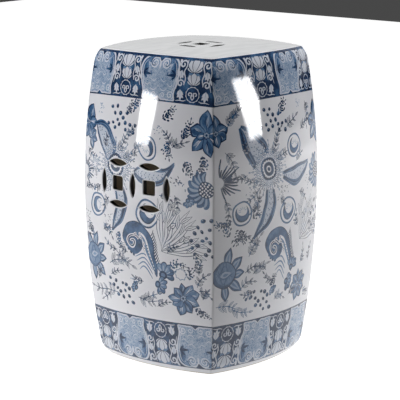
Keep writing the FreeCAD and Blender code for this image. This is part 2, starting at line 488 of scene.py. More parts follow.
def cut_sheet(outline, holes, shapes, plain_points, lines=()):
    """Triangulates a flat sheet with its holes and drawn shapes.

    Returns points, triangles, the number of the topmost shape on each triangle, or -1, and
    the number of the given point that each point comes from, or -1.
    """
    points, edges = [Vector(p) for p in plain_points], []
    for closed in [outline] + list(holes) + list(shapes):
        first, count = len(points), len(closed)
        edges += [(first + i, first + (i + 1) % count) for i in range(count)]
        points += [Vector(p) for p in closed]
    for line in lines:
        edges += [(len(points) + i, len(points) + i + 1) for i in range(len(line) - 1)]
        points += [Vector(p) for p in line]
    flat, _, triangles, came_from, _, _ = delaunay_2d_cdt(points, edges, [], 0, 1e-4, True)
    flat, triangles = np.array([tuple(p) for p in flat]), np.array(triangles)
    middles = flat[triangles].mean(1)
    kept = covers(outline, middles)
    for hole in holes:
        kept &= ~covers(hole, middles)
    triangles, middles = triangles[kept], middles[kept]
    by_height = np.argsort(middles[:, 1])
    across, height = middles[by_height].T
    drawn = np.full(len(triangles), -1)
    for number, shape in enumerate(shapes):
        first, last = np.searchsorted(height, [shape[:, 1].min(), shape[:, 1].max()])
        beside = (across[first:last] > shape[:, 0].min()) & (across[first:last] < shape[:, 0].max())
        near = by_height[first:last][beside]
        drawn[near[covers(shape, middles[near])]] = number
    used = np.unique(triangles)
    renumber = np.zeros(len(flat), int)
    renumber[used] = np.arange(len(used))
    sources = [came_from[i][0] if came_from[i] else -1 for i in used]
    return flat[used], renumber[triangles], drawn, sources


def border_loops(triangles):
    """Rings of point numbers along the free edges, in the triangles' own direction."""
    sides = {}
    for a, b, c in triangles.tolist():
        for start, end in ((a, b), (b, c), (c, a)):
            if (end, start) in sides:
                del sides[(end, start)]
            else:
                sides[(start, end)] = True
    follow = dict(sides.keys())
    loops = []
    while follow:
        start, at = follow.popitem()
        loop = [start]
        while at != start:
            loop.append(at)
            at = follow.pop(at)
        loops.append(loop)
    return loops


def bent(first, corner, last, steps):
    """Numbers on a quadratic curve from first to last that leaves towards corner."""
    t = np.linspace(0, 1, steps + 1)[1:, None]
    return (1 - t) ** 2 * np.array(first) + 2 * t * (1 - t) * np.array(corner) + t ** 2 * np.array(last)


class Shell:
    """Gathers the points and faces of one closed piece, with what each face carries."""

    def __init__(self):
        self.points, self.faces, self.inks, self.finish = [], [], [], []
        self.count = 0
        self.flat = None            # a printed sheet's points in the flat: its first points
        self.sheet_faces = 0        # and how many of the first faces are its triangles

    def add_points(self, points):
        self.points.append(np.asarray(points, float))
        first = self.count
        self.count += len(points)
        return list(range(first, self.count))

    def add_faces(self, faces, ink=(0.0, 0.0), finish=0):
        """Adds faces that share one ink, or take theirs from a list."""
        for number, face in enumerate(faces):
            self.faces.append(list(face))
            self.inks.append(ink[number] if isinstance(ink, list) else ink)
            self.finish.append(finish)

    def carry_on(self, ring, places, closed, ink=(0.0, 0.0), finish=0):
        """Joins a chain of points to the next one, at new places, with a strip of faces."""
        new = self.add_points(places)
        count = len(ring) if closed else len(ring) - 1
        strip = [(ring[(i + 1) % len(ring)], ring[i], new[i], new[(i + 1) % len(ring)])
                 for i in range(count)]
        self.add_faces(strip, ink, finish)
        return new

# %% [markdown]
# The drawing uses a few brush loads of cobalt, from bare white slip to the deepest blue. Each
# motif is a function that returns its shapes in millimetres, the lowest first, each with the
# strength of its colour and whether its ground is speckled. Its details are laid on top of
# each other, white slip over blue too, which saves cutting rings and hollows.

# %% Brush loads and small marks
WHITE, WASH, LIGHT = (0.0, 0.0), (0.14, 0.0), (0.32, 0.0)
MIDDLE, BLUE, DEEP = (0.56, 0.0), (0.78, 0.0), (1.0, 0.0)
THIN = (0.09, 0.0)                  # the whites of the borders, which carry a breath of blue
SPECKLED, SHADED = (0.27, 1.0), (0.56, 1.0)
hair, line_width = 0.9, 1.3         # the finest pen lines, and the ordinary ones
dab_spread = 48                     # degrees between a sprig's stem and its dabs


def around(count, first=0.0, sweep=360.0):
    """Evenly spaced angles in degrees; a full turn doesn't repeat its first angle."""
    steps = count if sweep == 360.0 else count - 1
    return [first + sweep * k / steps for k in range(count)]


def polar(radius, degrees):
    return radius * math.cos(math.radians(degrees)), radius * math.sin(math.radians(degrees))


def line_leaf(x, y, length, width, turn, ink=DEEP, rim=0.9):
    """A leaf drawn with a pen: an outline, a pale inside and a vein."""
    c, s = polar(1, turn)
    return [(leaf(x, y, length, width, turn), ink),
            (leaf(x + rim * 1.6 * c, y + rim * 1.6 * s, length - rim * 3.4, width - 2 * rim, turn), WHITE),
            (leaf(x + 0.1 * length * c, y + 0.1 * length * s, length * 0.66, hair, turn), ink)]


def sprig(points, pairs, dab_length, dab_width, ink=DEEP):
    """A curved stem with pairs of small dabs, no two quite alike, and one dab at its tip."""
    line = smooth(points, steps=8)
    ahead = np.gradient(line, axis=0)
    hand_of = random.Random(round(1000 * (points[-1][0] + 7 * points[-1][1] + pairs)))
    shapes = [(ribbon(points, hair, start_width=hair, end_width=hair), ink)]
    for k in range(pairs):
        at_point = int((0.12 + 0.88 * k / pairs) * (len(line) - 1))
        x, y = line[at_point]
        heading = math.degrees(math.atan2(ahead[at_point][1], ahead[at_point][0]))
        size = 1.15 - 0.45 * k / pairs
        for hand in (-1, 1):
            length = dab_length * size * hand_of.uniform(0.7, 1.15)
            turn = heading + hand * dab_spread * hand_of.uniform(0.75, 1.25)
            shapes.append((leaf(x, y, length, dab_width * size, turn, belly=0.55), ink))
            dx, dy = polar(length * hand_of.uniform(1.0, 1.25), turn)
            turn = heading + hand * dab_spread * hand_of.uniform(0.1, 0.8)
            shapes.append((leaf(x + dx, y + dy, length * 0.7, dab_width * size * 0.9, turn, 0.6), ink))
    heading = math.degrees(math.atan2(ahead[-1][1], ahead[-1][0]))
    shapes.append((leaf(*line[-1], dab_length * 0.8, dab_width * 0.9, heading), ink))
    return shapes


def twig(points, pairs, leaf_length, leaf_width, ink=DEEP):
    """A stem with pairs of pen-drawn leaves."""
    line = smooth(points, steps=8)
    ahead = np.gradient(line, axis=0)
    shapes = [(ribbon(points, line_width, start_width=hair, end_width=hair), ink)]
    for k in range(pairs):
        at_point = int((0.15 + 0.85 * k / pairs) * (len(line) - 1))
        heading = math.degrees(math.atan2(ahead[at_point][1], ahead[at_point][0]))
        size = 1.0 - 0.3 * k / pairs
        for hand in (-1, 1):
            shapes += line_leaf(*line[at_point], leaf_length * size, leaf_width * size,
                                heading + hand * (44 + 8 * (k % 2)), ink, rim=0.75)
    heading = math.degrees(math.atan2(ahead[-1][1], ahead[-1][0]))
    return shapes + line_leaf(*line[-1], leaf_length * 0.8, leaf_width * 0.8, heading, ink, rim=0.75)


def sprinkle(width, height, count, size=1.1, ink=DEEP, seed=1):
    """A loose patch of brush dots."""
    chance = random.Random(seed)
    shapes = []
    for _ in range(count):
        x, y = chance.gauss(0, width / 4), chance.gauss(0, height / 4)
        length, turn = size * chance.uniform(1.4, 3.2), chance.uniform(0, 360)
        shapes.append((leaf(x, y, length, size * 1.1, turn, 0.5), ink))
    return shapes


def berries(places, radius):
    """A loose cluster of dark berries, each with a glint."""
    shapes = []
    for number, (x, y) in enumerate(places):
        size = radius * (1 - 0.07 * (number % 3))
        shapes.append((disc(x, y, size, 9, 0.9 + 0.08 * (number % 4), 40 * number), DEEP))
        shapes.append((disc(x - size * 0.3, y + size * 0.35, size * 0.24, 5), LIGHT))
    return shapes


def lace(x, y, inner, outer, rays, first=0.0):
    """Rays of tiny rings and dots, like the fringe of a lace collar."""
    shapes = []
    for number, angle in enumerate(around(rays, first)):
        dx, dy = polar(1, angle)
        shapes.append((ribbon([(x + inner * dx, y + inner * dy), (x + outer * dx, y + outer * dy)],
                              hair, start_width=hair, end_width=hair), MIDDLE))
        for step in range(3):
            reach = inner + (outer - inner) * (0.3 + 0.3 * step + 0.1 * (number % 2))
            size = 2.1 - 0.35 * step
            place = (x + reach * dx, y + reach * dy)
            shapes += [(disc(*place, size, 8), BLUE), (disc(*place, size - 0.8, 6), WHITE)]
    return shapes


print("brush loads:", WHITE, WASH, LIGHT, MIDDLE, BLUE, DEEP)

# %% [markdown]
# The borders repeat two motifs that are centuries old: a palmette column, which is a footed
# pot with shells of petals growing out of it between scrolls, and a cartouche, a pale shield
# of speckle framed by white ribbons that curl over at the top.

# %% Border motifs, on a base line at 0 and 60 high
def both_hands(shapes):
    """The shapes and their mirror image."""
    return shapes + [(outline[::-1] * (-1, 1), ink) for outline, ink in shapes]


def shell_of_petals(foot, height, width):
    """A fan of white petals that opens upwards from its foot."""
    shapes = [(scalloped(0, foot + height * 0.62, width * 0.5, 9, 0.12), MIDDLE)]
    for angle, reach in ((8, 0.82), (172, 0.82), (42, 0.98), (138, 0.98), (90, 1.0)):
        dx, dy = polar(1, angle)
        tip = (reach * width * 0.5 * dx, foot + height * (0.42 + 0.56 * dy * reach))
        length = math.hypot(tip[0], tip[1] - foot)
        turn = math.degrees(math.atan2(tip[1] - foot, tip[0]))
        shapes.append((leaf(0, foot, length * 1.06, width * 0.46, turn, belly=0.72), DEEP))
        shapes.append((leaf(0, foot + 0.6, length, width * 0.38, turn, belly=0.74), THIN))
    return shapes


def acanthus(x, y, length, turn):
    """A pale leaf with ragged sides."""
    shapes = [(leaf(x, y, length, length * 0.46, turn, belly=0.35), THIN)]
    for share, side in ((0.1, 1), (0.14, -1), (0.36, 1), (0.42, -1)):
        dx, dy = polar(length * share, turn)
        shapes.append((leaf(x + dx, y + dy, length * 0.5, length * 0.24, turn + side * 42), THIN))
    vein = [(x, y), (x + polar(length * 0.7, turn)[0], y + polar(length * 0.7, turn)[1])]
    return shapes + [(ribbon(vein, 1.0, 0.6, 0.0), LIGHT)]


def palmette():
    right = acanthus(19, 44, 13, -80) + acanthus(20, 18, 15, -96)
    right += [(spiral(18.5, 51.5, 6.0, 1.3, 200, 2.1, -1), THIN),
              (spiral(20, 26, 5.8, 1.3, 200, 2.0, -1), THIN),
              (ribbon([(13.5, 58), (12.5, 50), (15.5, 42), (13, 33), (14.5, 25)], 1.7, 0.9, 0.9), THIN),
              (ribbon([(26, 59), (24, 50), (26, 42), (24, 30), (27, 18)], 1.5, 0.8, 0.8), THIN),
              (leaf(26, 60, 9, 3.2, -120), THIN), (leaf(25, 34, 8, 3.0, -70), THIN)]
    shapes = both_hands(right) + shell_of_petals(24, 17, 21) + shell_of_petals(41, 19, 25)
    shapes += [(scalloped(0, 12.5, 11.0, 12, 0.08), THIN), (disc(0, 12.5, 9.6, 18), DEEP)]
    shapes += both_hands([(spiral(4.4, 12.2, 4.2, 1.0, 250, 1.5, -1), THIN),
                          (ribbon([(0, 5.2), (2.2, 9.0), (1.0, 15.0)], 1.5, 1.2, 0.8), THIN),
                          (ribbon([(10, 4.5), (14, 3.0), (20, 3.4), (26, 2.4)], 1.3, 0.8, 0.4), THIN)])
    return shapes


def cartouche():
    side = [(0, 51), (6, 57.5), (15, 59.5), (25, 57), (30.5, 50), (32, 38), (29.5, 24), (26, 12), (27.5, 2)]
    foot_points = [(27.5, 2), (21, 1.2), (13, 2.2), (6, 2.0), (0, 6)]
    right_edge = smooth(side, steps=4)
    foot = smooth(foot_points, steps=4)
    left_edge, left_foot = (right_edge * (-1, 1))[::-1], (foot * (-1, 1))[::-1]
    ground = np.vstack([right_edge, foot[1:-1], left_foot[:-1], left_edge[:-1]])
    right = [(leaf(27.5, 57, 30, 12, -100), SHADED), (leaf(24, 58, 16, 8, -150), SHADED),
             (ribbon([(23, 56), (25.5, 46), (22.5, 35)], 4.4, 1.4, 0.6), BLUE),
             (leaf(30, 36, 19, 4.6, 184, belly=0.3), DEEP), (leaf(27, 38, 9, 3.4, 148), DEEP),
             (leaf(27, 34, 8, 3.0, 214), DEEP),
             (ribbon(side, 2.4, 1.2, 1.6), THIN),
             (ribbon([(x - 3.6, y - 1.8) for x, y in side[3:]], 1.1), THIN),
             (ribbon(foot_points, 2.0, 1.4, 1.2), THIN),
             (spiral(9.5, 50, 7.6, 1.9, 120, 1.7, -1), THIN), (spiral(9.5, 50, 8.8, 0.5, 60, 1.0, -1), DEEP),
             (spiral(20, 8.5, 6.0, 1.5, -60, 1.5, 1), THIN), (spiral(8, 7.5, 4.4, 1.3, 240, 1.2, -1), THIN),
             (ribbon([(2, 18), (8, 13.5), (15, 17)], 1.2), THIN),
             (ribbon([(2, 31), (8, 26), (14, 29)], 1.0), THIN),
             (ribbon([(14, 24), (19, 20), (24, 23)], 1.0), THIN), (leaf(15, 40, 8, 2.2, 250), SHADED)]
    return [(ground, SPECKLED)] + both_hands(right) + [(leaf(0, 43, 11, 3.0, 90), THIN)]


print("shapes in a palmette:", len(palmette()), "and in a cartouche:", len(cartouche()))

# %% [markdown]
# The field between the borders is filled in the chintz manner: exotic flowers at different
# stages, paisley scrolls, seed pods cut open and feathery leaves, linked by sprays of berries
# and twigs, with no two the same size. All are common motifs of blue and white wares.

# %% Field motifs, around their own middles
def cut_pod(radius):
    """A round pod cut open: a dark rim, a white flesh and a thick crescent inside."""
    shapes = [(disc(0, 0, radius, 26), BLUE), (disc(0, 0, radius * 0.87, 24), WASH),
              (disc(0, 0, radius * 0.84, 24), WHITE), (disc(0, 0, radius * 0.68, 22), DEEP),
              (scalloped(0, 0, radius * 0.6, 14, 0.07), BLUE),
              (disc(radius * 0.24, radius * 0.14, radius * 0.48, 18), WHITE)]
    for angle in around(6, -30, 150):
        x, y = polar(radius * 0.42, angle)
        shapes.append((leaf(x * 0.4 + radius * 0.1, y * 0.4, radius * 0.3, hair * 1.3, angle), LIGHT))
    return shapes


def rosette():
    """The round heart of the great flower, in its collar of lace."""
    shapes = lace(0, 0, 17, 40, 20) + lace(0, 0, 17, 30, 20, first=9)
    shapes += [(scalloped(0, 0, 17.8, 20, 0.06), BLUE), (disc(0, 0, 16.4, 26), DEEP)]
    shapes += [(scalloped(0, 0, 13.8, 18, 0.12), WHITE), (disc(0, 0, 10.2, 20), BLUE),
               (disc(0, 0, 9.4, 20), DEEP), (disc(0, 0, 4.8, 14), WHITE), (disc(0, 0, 2.8, 10), DEEP)]
    return shapes


def plume(left, left_width, right, right_width):
    """A great petal between two brush strokes that meet at its tip, with seeds inside."""
    one, other = smooth(left, steps=6), smooth(right, steps=6)
    shapes = [(np.vstack([one, other[::-1]]), WASH)]
    count = min(len(one), len(other))
    one, other = one[np.linspace(0, len(one) - 1, count).astype(int)], \
        other[np.linspace(0, len(other) - 1, count).astype(int)]
    for k in range(1, count - 2):
        for share in ((0.3, 0.62) if k % 2 else (0.46, 0.78)):
            place = one[k] + (other[k] - one[k]) * share
            heading = math.degrees(math.atan2(*(other[k] - one[k])[::-1]))
            shapes.append((leaf(*place, 3.4, 1.2, heading + 30 * (-1) ** k), BLUE))
    for points, width in ((left, left_width), (right, right_width)):
        shapes += [(ribbon(points, width, width * 0.5, width * 0.3, steps=6), BLUE),
                   (ribbon(points, width * 0.5, width * 0.3, 0.0, steps=6), DEEP),
                   (ribbon([(x + width * 0.2, y - width * 0.12) for x, y in points], width * 0.16), MIDDLE)]
    return shapes


def round_petal(length, width, turn):
    half = [(0.0, 0.06), (0.28, 0.24), (0.6, 0.47), (0.84, 0.42), (0.98, 0.16)]
    outline = smooth(half + [(x, -y) for x, y in half[::-1]], closed=True, steps=3)
    return rotated(outline * (length, width), turn)


def blossom(petals, heart=5.0):
    """An open flower; each petal has an angle, a length and a width, and is laid in three tones."""
    shapes = []
    for number, (angle, length, width) in enumerate(petals):
        belly = 0.5 + 0.07 * (number % 3)
        shapes += [(leaf(0, 0, length, width, angle, belly), DEEP),
                   (leaf(length * 0.56 * math.cos(math.radians(angle + 17)),
                         length * 0.56 * math.sin(math.radians(angle + 17)),
                         length * 0.42, width * 0.4, angle - 24, 0.5), DEEP),
                   (leaf(0, 0, length * 0.93, width * 0.8, angle, belly), BLUE if number % 2 else MIDDLE),
                   (leaf(*polar(length * 0.18, angle), length * 0.7, width * 0.5, angle + 7, 0.6),
                    MIDDLE if number % 2 else BLUE),
                   (leaf(*polar(length * 0.3, angle - 5), length * 0.5, width * 0.2, angle - 6, 0.5), LIGHT)]
        for bend, reach in ((-9, 0.6), (3, 0.78)):
            tip = polar(length * reach, angle + bend)
            middle = polar(length * reach * 0.5, angle + bend * 0.2)
            shapes.append((ribbon([(0, 0), middle, tip], 0.9, 0.8, 0.0), WHITE if number % 2 else DEEP))
    return shapes + [(scalloped(0, 0, heart, 6, 0.4), DEEP), (scalloped(0, 0, heart * 0.74, 6, 0.4), LIGHT),
                     (disc(0, 0, heart * 0.3, 7), DEEP)]


def bulb(radius, petals):
    """A fat bud, seen from the side, in a ruff of long petals with pale middles."""
    shapes = []
    for number, angle in enumerate(petals):
        length, root = radius * (1.95 - 0.16 * (number % 3)), polar(radius * 0.15, angle)
        for share, width, ink in ((1.0, 0.74, DEEP), (0.95, 0.64, BLUE), (0.88, 0.40, LIGHT),
                                  (0.8, 0.16, MIDDLE)):
            shapes.append((leaf(*root, length * share, radius * width, angle + 8, 0.66), ink))
    shapes += [(disc(0, 0, radius, 24), DEEP), (disc(0, 0, radius * 0.93, 22), BLUE),
               (disc(radius * 0.1, radius * 0.06, radius * 0.8, 22), MIDDLE)]
    for bend in (-32, -20, -8, 8, 20, 32):
        start, end = polar(radius * 0.86, 180 + bend * 2), polar(radius * 0.84, -bend * 2)
        rib = ribbon([start, (0, bend * 0.032 * radius), end], 1.8)
        shapes.append((rib, BLUE if bend % 12 else LIGHT))
    return shapes + [(leaf(-radius * 0.3, -radius * 0.1, radius * 0.9, radius * 0.42, 20, 0.5), LIGHT),
                     (leaf(-radius * 0.1, -radius * 0.04, radius * 0.5, radius * 0.2, 20, 0.5), MIDDLE)]


def ribbed_half(radius, first, sweep, ribs):
    """Half a chrysanthemum: ribbed petals that curl round a seeded middle."""
    shapes = []
    for number, angle in enumerate(around(ribs, first, sweep)):
        tip = polar(radius * (1.0 + 0.08 * (number % 2)), angle)
        root = polar(radius * 0.3, angle + 14)
        middle = polar(radius * 0.72, angle + 12)
        shapes.append((ribbon([root, middle, tip], radius * 0.36, 3.0, 2.0), BLUE))
        shapes.append((ribbon([root, polar(radius * 0.7, angle + 9), polar(radius * 0.94, angle - 1)],
                              radius * 0.13, 0.8, 0.4), LIGHT))
    shapes.append((disc(0, 0, radius * 0.46, 20), DEEP))
    for ring, count in ((0.36, 12), (0.24, 8), (0.1, 4)):
        for angle in around(count, ring * 90):
            shapes.append((disc(*polar(radius * ring, angle), radius * 0.055, 6), WHITE))
    return shapes


def stamens(radius, first, sweep, count, length):
    """Dark strokes that burst out of a flower's middle."""
    shapes = []
    for number, angle in enumerate(around(count, first, sweep)):
        reach = radius + length * (0.72 + 0.28 * math.cos(number * 2.4))
        start, end = polar(radius, angle), polar(reach, angle + 6)
        shapes.append((ribbon([start, polar((radius + reach) / 2, angle + 5), end], 2.6, 1.0, 1.4), DEEP))
    return shapes


def fern_fan(directions, length, width):
    """Long pen-drawn leaves that spread from one root, with side leaves near their tips."""
    shapes = []
    for number, angle in enumerate(directions):
        reach = length * (0.74 + 0.26 * math.sin(2.1 * number + 0.6))
        root = polar(6 * (number % 3), angle)
        shapes += line_leaf(*root, reach, width, angle, ink=DEEP, rim=1.0)
        for share, side in ((0.52, 1), (0.66, -1)):
            x, y = polar(reach * share, angle)
            shapes += line_leaf(root[0] + x, root[1] + y, reach * 0.3, width * 0.62,
                                angle + 24 * side, rim=0.8)
    return shapes


def paisley():
    """A scroll that winds up round a white curl and runs down into a seeded tail."""
    spine = [(-15, -8), (-17, 6), (-8, 17), (8, 15), (20, 3), (28, -20), (37, -47)]
    shapes = [(disc(*polar(19.5, angle), 2.5, 7), DEEP) for angle in around(14, 40, 215)]
    shapes += [(disc(-3, 0, 18, 26), BLUE), (ribbon(spine, 24, 6, 2.0, steps=6), DEEP),
               (ribbon(spine, 21, 5, 1.5, steps=6), BLUE),
               (spiral(-6, -1, 12.5, 1.35, 20, 5.0, 1), WHITE),
               (spiral(-5.6, -0.6, 12.0, 1.3, 22, 2.0, 1), DEEP),
               (ribbon([(6, 13), (15, 5), (20, -8), (26, -26), (33, -43)], 10.0, 3.0, 0), WHITE),
               (ribbon([(7, 11), (16, 2), (21, -12), (27, -28), (33, -43)], 4.5, 1.0, 0), MIDDLE)]
    for x, y, turn in ((2, 13, 200), (9, 13, 250), (13, 4, 160), (17, 1, 250), (20, -9, 170)):
        shapes += [(leaf(x, y, 8, 4.0, turn), WHITE), (leaf(x, y, 6.5, 1.2, turn), DEEP)]
    for step in range(9):
        shapes.append((disc(21.5 + 1.4 * step, -4 - 4.3 * step, 1.0, 6), DEEP))
    for step in range(13):
        share = step / 12
        x, y = 28 + 9 * share, 12 - 46 * share
        shapes.append((ribbon([(x, y), (x + 3, y + 3), (x + 6, y + 9)], 1.6, 1.0, 0.4), DEEP))
    return shapes


def crown(size):
    """A small tulip-like cup of lobes."""
    shapes = []
    for number, (angle, reach) in enumerate(((158, 1.0), (22, 1.0), (126, 1.05), (54, 1.05), (90, 0.95))):
        length = size * reach
        shapes += [(round_petal(length, size * 0.56, angle), DEEP),
                   (round_petal(length * 0.93, size * 0.42, angle), BLUE if number % 2 else MIDDLE),
                   (round_petal(length * 0.7, size * 0.14, angle + 6), LIGHT)]
    return shapes + [(disc(0, -size * 0.04, size * 0.38, 12, 0.8), DEEP),
                     (disc(0, -size * 0.04, size * 0.2, 10, 0.8), MIDDLE)]


def drawn_by_hand(shapes):
    """Lets every line waver a little, by a slow drift that is the same all over the panel."""
    unsteady = []
    for outline, ink in shapes:
        s, z = outline[:, 0], outline[:, 1]
        ds = 0.8 * np.sin(z / 6.1 + 1.3 * np.sin(s / 17)) + 0.5 * np.sin(s / 4.3 + z / 9.7)
        dz = 0.8 * np.sin(s / 6.7 + 1.1 * np.sin(z / 15)) + 0.5 * np.sin(z / 4.9 - s / 8.3)
        unsteady.append((np.stack([s + ds, z + dz], -1), ink))
    return unsteady


print("shapes in a paisley:", len(paisley()))

# %% [markdown]
# Two drawings, one for the front and back and one for the sides, lay the same motifs out a
# little differently, as a printer does who cuts each transfer from a longer roll. The borders
# are stretched to fit between the band line and the rim, whose height varies along the panel.

# %% Layouts
upper_line, upper_sag = 394.5, 4.0      # the upper band line hangs lower towards the corners
lower_line, lower_sag = 75.6, 0.8
lower_foot = 9.5                        # the lower border's white margin begins here
motif_height = 60.0
band_line_width, rim_line_width = 2.0, 0.8
panel_reach = 130.0                     # band lines run this far each way, past the corner edges
rim_reach = 124.0                       # the rim's height is followed this far each way
sag_reach = 115.0                       # a band line's sag is given this far from the middle
rim_gap = 1.2                           # white left between the upper border and the rim


def band_line(s, level, sag):
    return level - sag * (np.asarray(s) / sag_reach) ** 2


def lay_upper(shapes, centre):
    laid = []
    for outline, ink in shapes:
        s = outline[:, 0] + centre
        low, high = band_line(s, upper_line, upper_sag), rim_height(s) - rim_gap
        laid.append((np.stack([s, low + outline[:, 1] / motif_height * (high - low)], -1), ink))
    return laid


def lay_lower(shapes, centre):
    laid = []
    for outline, ink in shapes:
        s = outline[:, 0] + centre
        high = band_line(s, lower_line, lower_sag)
        laid.append((np.stack([s, high - outline[:, 1] / motif_height * (high - lower_foot)], -1), ink))
    return laid


def border(palmettes_above, cartouches_above, palmettes_below, cartouches_below):
    """Both borders of a panel, from the middles of their motifs."""
    s = np.linspace(-panel_reach, panel_reach, 41)
    ground = [(np.vstack([np.stack([s, 0 * s], -1), np.stack([s, 0 * s + motif_height], -1)[::-1]]), DEEP)]
    shapes = lay_upper(ground, 0) + lay_lower(ground, 0)
    for centre in cartouches_above:
        shapes += lay_upper(cartouche(), centre)
    for centre in palmettes_above:
        shapes += lay_upper(palmette(), centre)
    for centre in cartouches_below:
        shapes += lay_lower(cartouche(), centre)
    for centre in palmettes_below:
        shapes += lay_lower(palmette(), centre)
    half = band_line_width / 2
    for level, sag in ((upper_line, upper_sag), (lower_line, lower_sag)):
        middle = np.stack([s, band_line(s, level, sag)], -1)
        shapes.append((np.vstack([middle - (0, half), (middle + (0, half))[::-1]]), DEEP))
    rim = np.stack([s, rim_height(np.clip(s, -rim_reach, rim_reach)) - rim_round], -1)
    shapes.append((np.vstack([rim - (0, rim_line_width), (rim + (0, 3.0))[::-1]]), DEEP))
    below = np.stack([s, 0 * s + lower_foot], -1)
    shapes.append((np.vstack([below - (0, 20), below[::-1]]), WHITE))
    shapes.append((np.vstack([below - (0, 0.8), (below + (0, 0.8))[::-1]]), DEEP))
    return shapes


def great_flower(x, z, *plumes):
    """The main flower: its great petals behind a rosette, which is drawn last."""
    shapes = []
    for strokes in plumes:
        shapes += plume(*strokes)
    return shapes + moved(rosette(), x, z)


def gap_twigs(leaf_length, leaf_width, *places):
    """Small bent twigs that fill gaps; each has a place, a turn and a length."""
    shapes = []
    for x, z, turn, length in places:
        end, bend = polar(length, turn), polar(length * 0.55, turn + 12)
        shapes += moved(twig([(0, 0), bend, end], 3, leaf_length, leaf_width), x, z)
    return shapes


def berry_places(x, z, offsets):
    return [(x + dx, z + dz) for dx, dz in offsets]


upper_berries = [(-22, 14), (-10, 15), (-16, 6), (-4, 6), (8, 6), (-11, -3), (1, -1), (-30, -11), (-20, -8),
                 (-7, -10), (6, -8), (15, -9), (25, -8), (-15, -15), (8, -17), (22, -19)]
lower_berries = [(-30, 14), (-18, 12), (-32, 4), (-23, 5), (-14, 1), (-2, 10), (5, 9), (-8, -4), (3, -1),
                 (11, 4), (20, 11), (-13, -9), (-3, -11), (10, -7), (4, -18), (16, -16)]
corner_berries = [(-14, -3), (-9, 8), (-3, 17), (5, 27), (3, 12), (9, 3), (-4, -10), (12, -14), (15, 15),
                  (16, 28), (14, -4), (2, -1), (8, -21), (-12, -14), (18, -23)]


